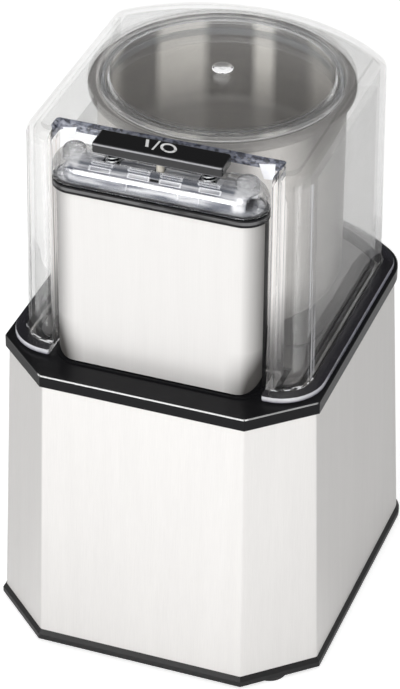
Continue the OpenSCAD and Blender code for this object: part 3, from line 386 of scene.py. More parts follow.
def pale_tray(f):
    """The pale tray in the button housing: banded, with dark lines and a dark patch at its right end, a painted
    highlight band along its length, a painted highlight near its right end and painted light high at its ends.
    """
    grain = f.grain(500)
    bands = f.grain(620, way=(0.08, 1, 1))
    x, _, z = f.axes()
    level = z * TO_MM - high("button_base").z
    across, off_middle = x * TO_MM, (x * x) ** 0.5
    pale = f.blend(f.ramp(bands, 0.36, 0.6), (0.13, 0.14, 0.175), (0.74, 0.745, 0.77))
    # Dark lines at three heights: the height, half the width, the soft edge and how dark.
    dark_lines = ((8.8, 0.3, 0.25, 0.85), (1.4, 0.3, 0.4, 0.7), (4.6, 0.15, 0.25, 0.5))
    tone = f.blend(sum(f.pulse(level, *place) * depth for *place, depth in dark_lines), pale, (0.1, 0.115, 0.15))
    # Painted highlight: a white band along the tray.
    middle = f.ramp(off_middle, 0.0375, 0.0365) * f.pulse(level, 5.7, 0.7, 0.3)
    # Painted light: the tray's ends whiter high up, under the domes.
    crown = f.ramp(off_middle, 0.035, 0.0365) * f.ramp(level, 7.0, 7.8) * (bands * 0.6 + 0.4)
    tone = f.blend(f.ramp(middle + crown, 0.0, 1.0), tone, (0.96, 0.96, 0.97))
    # Painted highlight low near the tray's right end.
    lit = f.pulse(across, 38.0, 1.4, 1.8) * f.pulse(level, 4.0, 1.6, 1.8) * 0.8
    tone = f.blend(lit, tone, (0.95, 0.95, 0.96))
    end = f.pulse(across, 42.6, 1.2, 0.5) * f.pulse(level, 4.2, 2.2, 0.8)
    f.surface(
        Base_Color=f.blend(end, tone, (0.01, 0.01, 0.014)),
        Metallic=0.4,
        Roughness=0.12 + grain * 0.06,
        Normal=f.bump(bands * 0.7 + grain * 0.3, 0.1, 0.0004),
    )


def wound_turns(f):
    """Copper wire, turn beside turn."""
    x, y, z = f.axes()
    return f.math("SINE", (x + y * 0.6 + z * 0.3) * (TAU / MOTOR_WIRE))


def clear(tint="clear", roughness=0.012, wave=0.05, veil=0.0, air=0.95, held=None):
    """Clear moulded plastic that bends what is seen through it, and that lets lamps shine through.

    tint is a colour or the name of a setting. veil is the share that is seen straight through, at a strength
    of air. held gives a skin and its share where the plastic holds light or dark.
    """

    def make(f):
        look = bpy.context.scene.grinder_plastic
        colour = getattr(look, tint) if isinstance(tint, str) else tint
        flow = f.grain(16)
        body = f.skin(
            Base_Color=f.blend(flow, shade(colour, 0.985), colour),
            Roughness=roughness,
            IOR=1.46,
            Transmission_Weight=1.0,
            Normal=f.bump(flow, wave, 0.002),
        )
        if veil:
            straight = f.node("ShaderNodeBsdfTransparent", sockets={"Color": (air, air, air * 0.997)})
            body = f.mixed(veil, body, straight)
        if held:
            skin, share = held(f)
            body = f.mixed(share, body, skin)
        open_air = f.node("ShaderNodeBsdfTransparent", sockets={"Color": (0.95, 0.95, 0.955)})
        f.close(f.mixed(f.math("MAXIMUM", *f.rays("Shadow", "Diffuse")), body, open_air))

    return make


def corner_lines(f):
    """Upright lines of held light, where the lid's front corners turn into its sides."""
    streak = f.grain(520, way=(1, 1, 0.01))
    return f.skin(Base_Color=(0.9, 0.9, 0.94), Roughness=0.12), f.ramp(streak, 0.45, 0.58) * 0.6


def flange_light(f):
    """The bright outer edge of the lid's flange, brightest at the front."""
    _, y, z = f.axes()
    front = f.ramp(y, -0.045, -0.066) * f.ramp(z * TO_MM - LID_Z, 0.5, 1.7)
    skin = f.skin(Base_Color=f.blend(front, (0.26, 0.26, 0.33), (0.92, 0.92, 0.97)), Roughness=0.12)
    return skin, f.ramp(f.grain(60), 0.3, 0.6) * 0.35 + 0.45


def flange_dark(f):
    """The flange's upper face, dark with the deck beneath it."""
    flow = f.grain(30)
    colour = f.blend(flow, (0.012, 0.012, 0.014), (0.045, 0.043, 0.052))
    return f.skin(Base_Color=colour, Roughness=0.12, Specular_IOR_Level=0.1), f.ramp(flow, 0.0, 1.0) * 0.1 + 0.85


def foot_painted_arcs(f):
    """Painted highlights: short bright arcs at the foot of the walls, where they turn into the flange."""
    arcs = f.grain(260, way=(1, 1, 7))
    return f.skin(Base_Color=(0.93, 0.93, 0.95), Roughness=0.15), f.ramp(arcs, 0.52, 0.58) * 0.8


def rim_painted_reflection(f):
    """The rounded rim of the lid's notch, with a painted reflection of the dark of what stands below, as a mottle.
    """
    mottle = f.grain(420, 3, 0.6, (1, 1, 1.6))
    colour = f.blend(f.ramp(mottle, 0.42, 0.62), (0.035, 0.04, 0.06), (0.24, 0.26, 0.34))
    return f.skin(Base_Color=colour, Roughness=0.14), 0.9 - f.ramp(mottle, 0.5, 0.75) * 0.5


def side_light(f):
    """The sides of the lid's notch, which stand end on and hold the light."""
    streak = f.ramp(f.grain(520, way=(1, 1, 0.006)), 0.36, 0.5)
    height = f.ramp(f.axes()[2], 0.165, 0.2)
    skin = f.skin(
        Base_Color=f.blend(streak, (0.3, 0.29, 0.32), (0.97, 0.95, 0.92)),
        Roughness=0.2,
        Emission_Color=f.blend(streak * height, 0, (0.55, 0.535, 0.52)),
        Emission_Strength=1.0,
    )
    return skin, height * 0.6 + 0.3


def housing_sheen(f):
    """A pale sheen where the button housing turns away."""
    return f.skin(Base_Color=(0.8, 0.82, 0.86), Roughness=0.1), f.ramp(f.away(), 0.75, 0.95) * 0.55


def dome_shade(f):
    """A dark ring where the screw domes turn away."""
    return f.skin(Base_Color=(0.06, 0.062, 0.07), Roughness=0.1), f.ramp(f.away(), 0.55, 0.7) * 0.8


FINISHES = {
    "brushed steel": brushed_sheet(0.95, None, lambda f, sheet: sheet),
    # The column's cover carries painted shade at its edges and its foot's corners.
    "column steel": brushed_sheet(0.96, 0.25, column_painted_shade),
    "spun steel": brushed_round,
    "gloss black": black_gloss,
    "bar black": bar_black,
    "deck edge": deck_edge,
    "black band": band_black,
    "pale tray": pale_tray,
    "moulded black": grained(
        (35, 3), (0.012, 0.012, 0.013), (0.022, 0.021, 0.021), (0.34, 0.12), (0.15, 0.0002),
        relief=lambda f: f.grain(2300, 3, 0.6), Specular_IOR_Level=0.25,
    ),
    "column black": grained(
        (40,), (0.006, 0.006, 0.007), (0.011, 0.011, 0.012), (0.3, 0.1), (0.15, 0.0001),
        relief=lambda f: f.grain(1400, 3, 0.6), rough_relief=True, Specular_IOR_Level=0.1,
    ),
    "stacked sheets": grained(
        (120, 3, 0.6), (0.07, 0.072, 0.078), (0.15, 0.15, 0.155), (0.4, 0.2), (0.4, 0.0001),
        relief=lambda f: f.math("SINE", f.axes()[2] * (TAU / MOTOR_SHEET)), Metallic=0.7,
    ),
    "enamelled wire": grained(
        (300,), (0.36, 0.1, 0.03), (0.55, 0.2, 0.06), (0.3, 0.15), (0.6, 0.0002),
        relief=wound_turns, Metallic=0.6,
    ),
    "clear plastic": clear(),
    # Painted light and shade on the lid: its faces are one plastic, with lighter or darker tints and see-through
    # strengths by where they stand.
    "clear top": clear(veil=0.65, air=0.995),
    "clear wall": clear("wall", wave=0.06, veil=0.65, air=0.93),
    "clear front": clear("wall", wave=0.06, veil=0.75, air=0.985),
    "clear left": clear(veil=0.85, air=0.985),
    "clear rear": clear((0.9, 0.9, 0.91), wave=0.06, veil=0.7, air=0.985),
    "clear edge": clear(roughness=0.05, veil=0.9, air=0.93),
    "clear corner": clear("wall", 0.05, veil=0.88, air=0.96, held=corner_lines),
    "flange edge": clear(roughness=0.03, veil=0.5, held=flange_light),
    "flange top": clear(roughness=0.03, veil=0.7, held=flange_dark),
    "wall foot": clear(roughness=0.03, veil=0.6, held=foot_painted_arcs),
    "notch rim": clear((0.8, 0.82, 0.88), 0.05, held=rim_painted_reflection),
    "notch side": clear(roughness=0.05, veil=0.7, held=side_light),
    "thick clear plastic": clear(roughness=0.0, wave=0.02, veil=0.65, air=0.985, held=housing_sheen),
    "dome plastic": clear(roughness=0.0, wave=0.03, veil=0.3, air=0.98, held=dome_shade),
    "deck steel": metal(
        (2400, 2, 0.6), (0.36, 0.355, 0.355), (0.46, 0.455, 0.455), (0.34, 0.1), (0.1, 0.0002), way=(0.02, 1, 1)
    ),
    "blade steel": metal(
        (2600, 2, 0.6), 0.58, (0.74, 0.74, 0.73), (0.18, 0.14), (0.2, 0.0002), way=(1, 0.05, 1)
    ),
    "ground steel": metal(
        (1.0, 2, 0.6), 0.5, (0.66, 0.66, 0.65), (0.22, 0.12), (0.2, 0.0002), way=(3.0, 1800.0)
    ),
    "zinc plating": metal((420, 3, 0.6), (0.4, 0.41, 0.42), (0.58, 0.59, 0.6), (0.3, 0.2), (0.15, 0.0003)),
    "cast alloy": metal((900, 3, 0.65), (0.42, 0.43, 0.44), (0.58, 0.59, 0.6), (0.45, 0.2), (0.35, 0.0004)),
    "spring wire": metal((1500,), 0.6, 0.75, (0.2, 0.1), (0.1, 0.0001)),
    "brass": metal((160, 3, 0.6), (0.5, 0.34, 0.12), (0.72, 0.54, 0.24), (0.26, 0.2), (0.1, 0.0002)),
    "carbon": grained((1900, 3, 0.6), (0.02, 0.02, 0.021), (0.05, 0.05, 0.052), (0.55, 0.2), (0.3, 0.0002)),
    "soft rubber": grained(
        (1500, 3, 0.6), (0.018, 0.017, 0.017), (0.035, 0.034, 0.034), (0.72, 0.15), (0.3, 0.0003)
    ),
    "clear silicone": grained(
        (900, 2, 0.5), (0.62, 0.64, 0.65), (0.72, 0.74, 0.75), (0.4, 0.1), (0.1, 0.0002), Alpha=0.6
    ),
    "pale plastic": grained((900, 2, 0.5), (0.62, 0.58, 0.5), (0.7, 0.66, 0.58), (0.45, 0.1), (0.1, 0.0002)),
    "white print": grained((900, 2, 0.5), 0.82, 0.9, (0.4, 0.1), (0.05, 0.0001)),
    # Painted highlight: pale edges that also give off light of their own, for the tray's windows, the boss cores
    # and the notch's tabs.
    "lit edge": grained(
        (220, 2, 0.5), (0.7, 0.71, 0.74), (0.95, 0.95, 0.96), (0.25, 0.1), (0.1, 0.0003),
        glow=((0.14, 0.14, 0.15), (0.26, 0.26, 0.27)), Emission_Strength=1.0,
    ),
}


# ---- outlines and meshes ----


def inset(plan, d):
    """The same outline moved inwards by d: half width, front, cut x, cut y, rear, rear radius, front radius."""
    half, front, cx, cy, rear, rr, fr = plan
    if fr > 0:
        return half - d, front + d, 0, 0, rear - d, rr - d, fr - d
    slope = math.hypot(cx, cy)
    k = 1 - d * ((cx + cy) / slope - 1) / (cx * cy / slope)
    return half - d, front + d, cx * k, cy * k, rear - d, rr - d, 0


def between(a, b, t):
    return tuple(p + (q - p) * t for p, q in zip(a, b))


def limited(value):
    """The value, kept between 0 and 1."""
    return max(0.0, min(1.0, value))


def arc(cx, cy, r, a0, a1, steps, first=0):
    """Points on a circle between two angles in degrees."""
    angles = [math.radians(a0 + (a1 - a0) * i / steps) for i in range(first, steps + 1)]
    return [(cx + r * math.cos(a), cy + r * math.sin(a)) for a in angles]


def bend(before, corner, after, r, steps):
    """A rounded corner of a polygon."""
    b, c, a = Vector(before), Vector(corner), Vector(after)
    u, v = (b - c).normalized(), (a - c).normalized()
    half = math.acos(max(-1, min(1, u.dot(v)))) / 2
    reach = r / math.tan(half)
    centre = c + (u + v).normalized() * (r / math.sin(half))
    p, q = c + u * reach - centre, c + v * reach - centre
    w = math.pi - 2 * half
    out = []
    for i in range(steps + 1):
        t = i / steps
        out.append(tuple(centre + (p * math.sin(w * (1 - t)) + q * math.sin(w * t)) / math.sin(w)))
    return out


def rear_edge(plan, steps=24, corner=8):
    """From the right side round the rear corner to the middle of the rear arc."""
    half, _, _, _, rear, rr, _ = plan
    radius = rear - ARC_Y
    x = half - rr
    y = math.sqrt((radius - rr) ** 2 - x * x)
    turn = math.degrees(math.atan2(y, x))
    return arc(x, ARC_Y + y, rr, 0, turn, corner) + arc(0, ARC_Y, radius, turn, 90, steps, first=1)


def mirrored(right):
    """A closed outline from its right half, which starts in the middle of the front."""
    return right + [(-x, y) for x, y in reversed(right) if abs(x) > 1e-6]


def outline(plan, fold=1.5):
    """A closed outline with cut or rounded front corners."""
    half, front, cx, cy, _, _, fr = plan
    right = [(0, front)]
    if fr > 0:
        right += arc(half - fr, front + fr, fr, -90, 0, 10)
    else:
        a, b = (half - cx, front), (half, front + cy)
        right += bend((0, front), a, b, fold, 4) + bend(a, b, (half, 60), fold, 4)
    return mirrored(right + rear_edge(plan))


def lift(points, z):
    return [(x, y, z) for x, y in points]


def strip(a, b, n):
    """The faces between two closed rows of n points, which start at a and b."""
    return [(a + j, a + (j + 1) % n, b + (j + 1) % n, b + j) for j in range(n)]


def smooth(mesh):
    mesh.shade_smooth()
    mesh.set_sharp_from_angle(angle=SHARP)


def add_mesh(name, points, faces, finish_name, weighted=True, zones=()):
    """Puts a piece in the scene, from points in mm, with outward faces and smooth shading.

    zones gives further finishes, each with the numbers of its faces.
    """
    mesh = bpy.data.meshes.new(name)
    mesh.from_pydata([tuple(c * MM for c in p) for p in points], [], faces)
    mesh.materials.append(finish(finish_name))
    for zone_finish, chosen in zones:
        mesh.materials.append(finish(zone_finish))
        for i in chosen:
            mesh.polygons[i].material_index = len(mesh.materials) - 1
    b = bmesh.new()
    b.from_mesh(mesh)
    bmesh.ops.remove_doubles(b, verts=b.verts, dist=1e-7)
    bmesh.ops.dissolve_degenerate(b, edges=b.edges, dist=1e-7)
    bmesh.ops.recalc_face_normals(b, faces=b.faces)
    b.to_mesh(mesh)
    b.free()
    smooth(mesh)
    obj = bpy.data.objects.new(name, mesh)
    bpy.context.collection.objects.link(obj)
    if weighted:
        flat = obj.modifiers.new("flat faces first", "WEIGHTED_NORMAL")
        flat.keep_sharp = True
        flat.weight = 60
    return obj


def shape(name, loops, finish_name, ring=False, weighted=True):
    """A skin over closed loops of equal length, with both ends filled, or joined into a ring."""
    n, rows = len(loops[0]), len(loops)
    faces = []
    for i in range(rows if ring else rows - 1):
        faces += strip(i * n, (i + 1) % rows * n, n)
    if not ring:
        faces += [tuple(reversed(range(n))), tuple(range((rows - 1) * n, rows * n))]
    return add_mesh(name, [p for loop in loops for p in loop], faces, finish_name, weighted)


def turned(name, profile, finish_name, cy=0.0, n=128):
    """A piece of revolution about the upright axis at y = cy: profile of (r, z)."""
    turns = [TAU * i / n for i in range(n)]
    loops = [[(r * math.sin(a), cy - r * math.cos(a), z) for r, z in profile] for a in turns]
    return shape(name, loops, finish_name, ring=True)


def rod(name, r, z0, z1, finish_name, cy=0.0):
    return turned(name, [(CENTRE, z0), (r, z0), (r, z1), (CENTRE, z1)], finish_name, cy, n=32)


def carve(obj, lo, hi):
    """Cuts an upright box, given by two corners in mm, out of a piece."""
    corners = [(x * MM, y * MM, z * MM) for z in (lo[2], hi[2]) for y in (lo[1], hi[1]) for x in (lo[0], hi[0])]
    sides = [(0, 2, 3, 1), (4, 5, 7, 6), (0, 1, 5, 4), (2, 6, 7, 3), (0, 4, 6, 2), (1, 3, 7, 5)]
    mesh = bpy.data.meshes.new("opening")
    mesh.from_pydata(corners, [], sides)
    cutter = bpy.data.objects.new("opening", mesh)
    bpy.context.collection.objects.link(cutter)
    cut = obj.modifiers.new("opening", "BOOLEAN")
    cut.operation, cut.solver, cut.object = "DIFFERENCE", "EXACT", cutter
    bpy.context.view_layer.update()
    done = bpy.data.meshes.new_from_object(obj.evaluated_get(bpy.context.evaluated_depsgraph_get()))
    obj.modifiers.remove(cut)
    bpy.data.meshes.remove(mesh)
    smooth(done)
    obj.data = done


def settle(obj, body, slot, *nodes):
    """Hangs a finished piece on its body and hides what it stands for; its slot is not used."""
    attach(obj, body)
    if nodes:
        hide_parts(*nodes)


def dress(finish_name, *nodes, bevel=0.0):
    """Gives CAD nodes their finish, and a fine edge where they need one."""
    for name in nodes:
        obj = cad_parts[name]
        obj.data.materials.clear()
        obj.data.materials.append(finish(finish_name))
        for poly in obj.data.polygons:
            poly.material_index = 0
        if bevel:
            edge = obj.modifiers.new("broken edges", "BEVEL")
            edge.width = bevel * MM
            edge.segments = 2
            edge.limit_method = "ANGLE"
            edge.angle_limit = math.radians(35)


def compress(node):
    """Gives a spring node its own copy of its mesh."""
    foot, head = low(node).z, high(node).z
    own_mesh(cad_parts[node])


def low(node):
    """A node's lowest corner in mm."""
    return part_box(node)[0] / MM


def high(node):
    """A node's highest corner in mm."""
    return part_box(node)[1] / MM


# ---- the grinder's sizes, in mm ----

STEEL_Z = low("housing_shell").z
DECK_Z = high("housing_shell").z
TOP_Z = low("deck_plate").z
LID_Z = low("lid_shell").z
LID_TOP = high("lid_shell").z
BOWL_Z = low("bowl").z
BOWL_TOP = high("bowl").z
AXIS_Y = (low("bowl").y + high("bowl").y) / 2
BAR_LOW, BAR_HIGH = low("push_button"), high("push_button")
ARC_Y = -16.8  # the centre of the rear wall's arc
CENTRE = 0.01  # the radius at which a turned end closes

# Outlines, as inset() lists their numbers.
BASE = (79.5, -94.5, 29.4, 27.0, 94.5, 15.0, 0)
DECK = (75.0, -90.0, *inset(BASE, 4.5)[2:4], 88.2, 24.0, 0)
LID_HEAD = (66.0, -67.0, 0, 0, 77.5, 9.5, 13.5)
LID_FOOT = inset(LID_HEAD, -1.3)

SHELL_SET_IN = 1.5
SHEET = 1.0
FLANGE = 6.0
FLANGE_T = 3.0
LID_T = 2.5
LID_WALL = 3.0
LID_EDGE = 6.5
NOTCH = 50.5
NOTCH_BACK = -51.5
NOTCH_HEAD = -54.6
NOTCH_WALL = 2.2
RIM_EDGE = 2.3
PRESS = 4.0
BAR_T = 5.6
PRINT_T = 0.03
PRINT_ROOM = 0.04
SPRING_X = 22.0
STEM_Y = -65.4
BOSS_X = 39.6
BOSS_Y = -65.0

# The lid's faces, counted along its outline from the middle of the notch.
SIDE_OF_NOTCH = range(5, 7)
FRONT = range(7, 17)
CORNER = range(17, 20)
SIDE = 20

# Rows of the lid's shell that no outer row has.
TOP_ROW, INNER_ROW, INNER_EDGE_ROW = -2, -3, -4
INNER_EDGE_LOOPS = 7


# ---- settings ----


class GrinderMetal(bpy.types.PropertyGroup):
    """The grinder's metal finishes."""

    steel: bpy.props.FloatVectorProperty(
        name="Housing steel", description="Colour of the brushed sheet",
        subtype="COLOR", size=3, default=(0.8, 0.785, 0.77),
    )
    bowl: bpy.props.FloatVectorProperty(
        name="Bowl steel", description="Colour of the spun bowl",
        subtype="COLOR", size=3, default=(0.5, 0.484, 0.465),
    )
    steel_metallic: bpy.props.FloatProperty(
        name="Steel metallic", description="How much the brushed sheet mirrors", default=0.8, min=0.0, max=1.0
    )
    steel_roughness: bpy.props.FloatProperty(
        name="Steel roughness", description="Roughness of the brushed sheet", default=0.34, min=0.0, max=1.0
    )


class GrinderPlastic(bpy.types.PropertyGroup):
    """The grinder's plastic finishes."""

    black: bpy.props.FloatVectorProperty(
        name="Black", description="Colour of the gloss black mouldings",
        subtype="COLOR", size=3, default=(0.009, 0.009, 0.01),
    )
    clear: bpy.props.FloatVectorProperty(
        name="Clear", description="Tint of the clear lid", subtype="COLOR", size=3, default=(0.97, 0.972, 0.98)
    )
    # Painted shade: the darker tint that the lid's upright walls take.
    wall: bpy.props.FloatVectorProperty(
        name="Clear wall", description="Tint of the lid's upright walls",
        subtype="COLOR", size=3, default=(0.76, 0.76, 0.775),
    )
    gloss_roughness: bpy.props.FloatProperty(
        name="Gloss roughness", description="Roughness of the gloss black", default=0.09, min=0.0, max=1.0
    )


class GrinderForm(bpy.types.PropertyGroup):
    """Small sizes of the grinder's pieces."""

    fold: bpy.props.FloatProperty(
        name="Steel fold", description="Radius of the sheet's upright folds, in mm", default=1.8, min=0.5, max=6.0
    )
    deck_edge: bpy.props.FloatProperty(
        name="Deck edge", description="Radius of the deck's top edge, in mm", default=0.7, min=0.2, max=2.0
    )
    button_edge: bpy.props.FloatProperty(
        name="Button edge", description="Radius of the push bar's edges, in mm", default=1.1, min=0.2, max=2.5
    )


class GrinderStage(bpy.types.PropertyGroup):
    """The stage and its light."""

    key_power: bpy.props.FloatProperty(
        name="Key lamp", description="Power of the key lamp", unit="POWER", default=7.5
    )
    fill_power: bpy.props.FloatProperty(
        name="Fill lamp", description="Power of the fill lamp", unit="POWER", default=8.5
    )
    world: bpy.props.FloatProperty(name="World", description="Strength of the room's light", default=0.45, min=0.0)


# ---- pieces ----


class GRINDER_OT_housing(bpy.types.Operator):
    """Builds the folded steel skin of the housing and dresses the tray, the feet and the gland"""

    bl_idname = "grinder.housing"
    bl_label = "Housing"

    def execute(self, context):
        fold = context.scene.grinder_form.fold
        foot, head = inset(BASE, SHELL_SET_IN), inset(DECK, SHELL_SET_IN)

        def wall(t, inwards, fold):
            return lift(outline(inset(between(foot, head, t), inwards), fold), STEEL_Z + (DECK_Z - STEEL_Z) * t)

        loops = [wall(t, 0, fold) for t in (0, 0.25, 0.5, 0.75, 1)]
        loops += [wall(t, SHEET, fold - SHEET + 0.2) for t in (1, 0.5, 0)]
        skin = shape("housing_skin", loops, "brushed steel", ring=True)
        settle(skin, "base", "brushed_skin", "housing_shell")
        dress("moulded black", "base_tray", "cord_gland")
        dress("soft rubber", "foot_front_left", "foot_front_right", "foot_rear_left", "foot_rear_right")
        return {"FINISHED"}


class GRINDER_OT_deck(bpy.types.Operator):
    """Dresses the deck, its plate and the bowl's seat, and builds a thin strip along the deck's edge that carries
    a painted highlight
    """

    bl_idname = "grinder.deck"
    bl_label = "Deck"

    def execute(self, context):
        dress("gloss black", "top_deck", bevel=context.scene.grinder_form.deck_edge)
        dress("deck steel", "deck_plate")
        # A thin strip just over the deck's top edge, which carries its painted highlight.
        profile = ((0.1, -0.7), (-0.04, -0.5), (-0.04, -0.1), (0.05, 0.06), (0.35, 0.06), (0.4, -0.3))
        loops = [lift(outline(inset(DECK, d)), TOP_Z + h) for d, h in profile]
        settle(shape("deck_edge", loops, "deck edge", ring=True), "base", "gloss_black")
        dress("moulded black", "bowl_seat")
        return {"FINISHED"}


class GRINDER_OT_column(bpy.types.Operator):
    """Dresses the interlock column and the switch inside it"""

    bl_idname = "grinder.column"
    bl_label = "Interlock column"

    def execute(self, context):
        dress("column steel", "column_cover")
        dress("column black", "column_frame")
        dress("zinc plating", "column_screws", "bracket_screws", "switch_bracket")
        dress("moulded black", "micro_switch", "switch_plunger")
        dress("ground steel", "lever_pin")
        dress("brass", "switch_lever")
        dress("pale plastic", "switch_pin")
        dress("spring wire", "plunger_spring")
        compress("plunger_spring")
        return {"FINISHED"}


def lid_loop(plan, z, wall=0.0, soft=0.0):
    """A closed outline of the lid with its notch, at a height.

    wall is the distance inside the notch's faces, and soft is how far the notch's rim has rounded away.
    """
    half, front, _, _, _, _, fr = plan
    x = NOTCH + wall + soft
    lean = limited((z - 241) / 5)
    back = NOTCH_BACK + (NOTCH_HEAD - NOTCH_BACK) * lean + wall + soft
    cx, cy, r = half - fr, front + fr, 1.0
    start = -90 + math.degrees(math.asin(limited((x + r - cx) / fr)))
    y = cy + fr * math.sin(math.radians(start))
    notch = [(0, back), (x * 0.5, back), *bend((0, back), (x, back), (x, y), 1.6, 3), (x, (back + y) / 2)]
    front_edge = bend((x, back), (x, y), (x + 9, y), r, 3) + arc(cx, cy, fr, start, 0, 9, first=1)
    return lift(mirrored(notch + front_edge + [(half, cy + 3)] + rear_edge(plan)), z)


def lid_at(z):
    """The lid's outside at a height below its rounded edge."""
    return between(LID_FOOT, LID_HEAD, limited((z - LID_Z) / (LID_TOP - LID_EDGE - LID_Z)))


def two_skins(name, outer, inner, finish_name, zones):
    """A shell: the outer loops run up from the inner foot edge to the outer top, the inner ones up inside it.

    A zone is a finish, its rows, its faces counted from the notch, and whether only the left side has it.
    """
    n, loops = len(outer[0]), outer + inner
    faces, tags = [], []

    def add(a, b, row):
        faces.extend(strip(a * n, b * n, n))
        tags.extend((row, j) for j in range(n))

    def cap(i):
        faces.append(tuple(range(i * n, (i + 1) * n)))
        tags.append((TOP_ROW, 0))

    for i in range(len(outer) - 1):
        add(i, i + 1, i)
    cap(len(outer) - 1)
    add(0, len(outer), INNER_ROW)
    for i in range(len(outer), len(loops) - 1):
        add(i, i + 1, INNER_ROW if i < len(loops) - INNER_EDGE_LOOPS else INNER_EDGE_ROW)
    cap(len(loops) - 1)

    def chosen(rows, places, left_only=False):
        """The numbers of a zone's faces."""
        return [
            i
            for i, (row, j) in enumerate(tags)
            if row in rows and min(j, n - 1 - j) in places and (j > n / 2 or not left_only)
        ]

    points = [p for loop in loops for p in loop]
    return add_mesh(name, points, faces, finish_name, zones=[(zone[0], chosen(*zone[1:])) for zone in zones])


def lid_shell():
    """The clear lid with its notch and flange."""
    flange = inset(LID_FOOT, -FLANGE)
    top = LID_Z + FLANGE_T
    outer = [lid_loop(inset(LID_FOOT, LID_WALL), LID_Z, NOTCH_WALL), lid_loop(LID_FOOT, LID_Z)]
    for d, rise in ((0.5, 0), (0, 0.5), (0, FLANGE_T - 0.9), (0.25, FLANGE_T - 0.3), (0.9, FLANGE_T)):
        outer.append(lid_loop(inset(flange, d), LID_Z + rise))
    for d, rise in ((-1.0, 0), (-0.3, 0.3)):
        outer.append(lid_loop(inset(lid_at(top), d), top + rise))
    outer.append(lid_loop(lid_at(top + 1.0), top + 1.0))
    straight = LID_TOP - LID_EDGE
    levels = (180, 206, 232, 241, 246, 251, straight)
    walls = range(len(outer) - 1, len(outer) + len(levels) - 1)
    outer += [lid_loop(lid_at(z), z) for z in levels]
    for i in range(1, 10):
        a = math.radians(10 * i)
        z = straight + LID_EDGE * math.sin(a)
        over = max(0.0, (z - LID_TOP + RIM_EDGE) / RIM_EDGE)
        soft = RIM_EDGE * (1 - math.sqrt(max(0.0, 1 - over * over)))
        outer.append(lid_loop(inset(LID_HEAD, LID_EDGE * (1 - math.cos(a))), z, soft=soft))

    r = LID_EDGE - LID_WALL
    spring = LID_TOP - LID_T - r
    inner = [lid_loop(inset(lid_at(z), LID_WALL), z, NOTCH_WALL) for z in levels[:-1]]
    for i in range(INNER_EDGE_LOOPS):
        a = math.radians(15 * i)
        plan = inset(LID_HEAD, LID_WALL + r * (1 - math.cos(a)))
        inner.append(lid_loop(plan, spring + r * math.sin(a), NOTCH_WALL))

    n, rows = len(outer[0]), len(outer)
    upright = {*walls, INNER_ROW}
    edge, rim = {*range(rows - 10, rows - 1), INNER_EDGE_ROW}, range(rows - 8, rows - 1)
    past_notch = range(FRONT.start, n)
    # Each zone gives faces of the lid their painted light and shade: tints by side, and painted highlights and
    # reflections on edges and corners.
    zones = (
        ("clear top", {TOP_ROW}, range(n)),
        ("clear wall", upright, {SIDE}),
        ("clear left", upright, {SIDE}, True),
        ("clear rear", upright, range(SIDE + 1, n)),
        ("clear front", upright, FRONT),
        ("clear front", {INNER_ROW}, CORNER),
        ("clear corner", walls, CORNER),
        ("notch side", upright, SIDE_OF_NOTCH),
        ("clear edge", edge, past_notch),
        ("notch rim", rim, range(FRONT.start)),
        ("flange edge", range(2, 5), past_notch),
        ("flange top", range(5, 7), past_notch),
        ("wall foot", range(7, 9), range(FRONT.start, CORNER.stop - 1)),
    )
    shell = two_skins("lid_clear", outer, inner, "clear plastic", zones)
    settle(shell, "lid", "clear_plastic", "lid_shell")


def bowl_plug():
    """The plug's clear ring under the lid's top, and the stud on the top."""
    top, tip = LID_TOP - LID_T - 0.05, 13.2
    profile = ((50.5, 0), (56.0, 0), (56.0, 2.2), (53.7, 2.2), (53.7, tip - 0.6), (53.1, tip))
    profile += ((52.1, tip), (51.5, tip - 0.6), (51.5, 3.2), (50.5, 2.2))
    plug = turned("bowl_cover", [(r, top - depth) for r, depth in profile], "clear plastic", AXIS_Y)
    settle(plug, "lid", "clear_plastic", "bowl_plug")
    foot, r, dome = LID_TOP + 0.03, 4.9, (0.1, 0.35, 0.6, 0.85, 1.1, 1.35)
    stud = [(CENTRE, foot), (r, foot)]
    stud += [(r * math.cos(a), LID_TOP + 0.1 + 1.9 * math.sin(a)) for a in dome]
    stud.append((CENTRE, LID_TOP + 2.0))
    settle(turned("plug_stud", stud, "clear plastic", AXIS_Y, n=48), "lid", "clear_plastic")


class GRINDER_OT_lid(bpy.types.Operator):
    """Builds the clear lid with its notch and flange, and the bowl's plug under its top"""

    bl_idname = "grinder.lid"
    bl_label = "Lid"

    def execute(self, context):
        lid_shell()
        bowl_plug()
        dress("clear silicone", "plug_seal")
        return {"FINISHED"}


def push_bar(edge):
    """The push bar, with two posts into its springs and a stem that pushes the plunger."""
    z0, z1 = BAR_HIGH.z - BAR_T, BAR_HIGH.z - PRINT_ROOM
    x, y0, y1 = BAR_HIGH.x, BAR_LOW.y, BAR_HIGH.y

    def loop(d, z):
        r = max(0.3, 1.4 - d)
        right, front, rear = x - d - r, y0 + d + r, y1 - d - r
        points = []
        for cx, cy, a in ((right, front, -90), (right, rear, 0), (-right, rear, 90), (-right, front, 180)):
            points += arc(cx, cy, r, a, a + 90, 4)
        return lift(points, z)

    steps = [math.radians(22.5 * i) for i in range(5)]
    loops = [loop(edge * (1 - math.sin(a)), z0 + edge * (1 - math.cos(a))) for a in steps]
    loops += [loop(edge * (1 - math.cos(a)), z1 - edge * (1 - math.sin(a))) for a in steps]
    settle(shape("push_bar", loops, "bar black"), "button", "gloss_black", "push_button")
    for i, px in enumerate((-SPRING_X, SPRING_X)):
        post = rod(f"guide_post_{i}", 2.4, BAR_LOW.z, z0 + 0.2, "gloss black")
        post.location = (px * MM, (y0 + y1) / 2 * MM, 0)
        settle(post, "button", "gloss_black")
    settle(rod("push_stem", 1.8, BAR_LOW.z, z0 + 0.2, "pale plastic", STEM_Y), "button", "light_plastic")


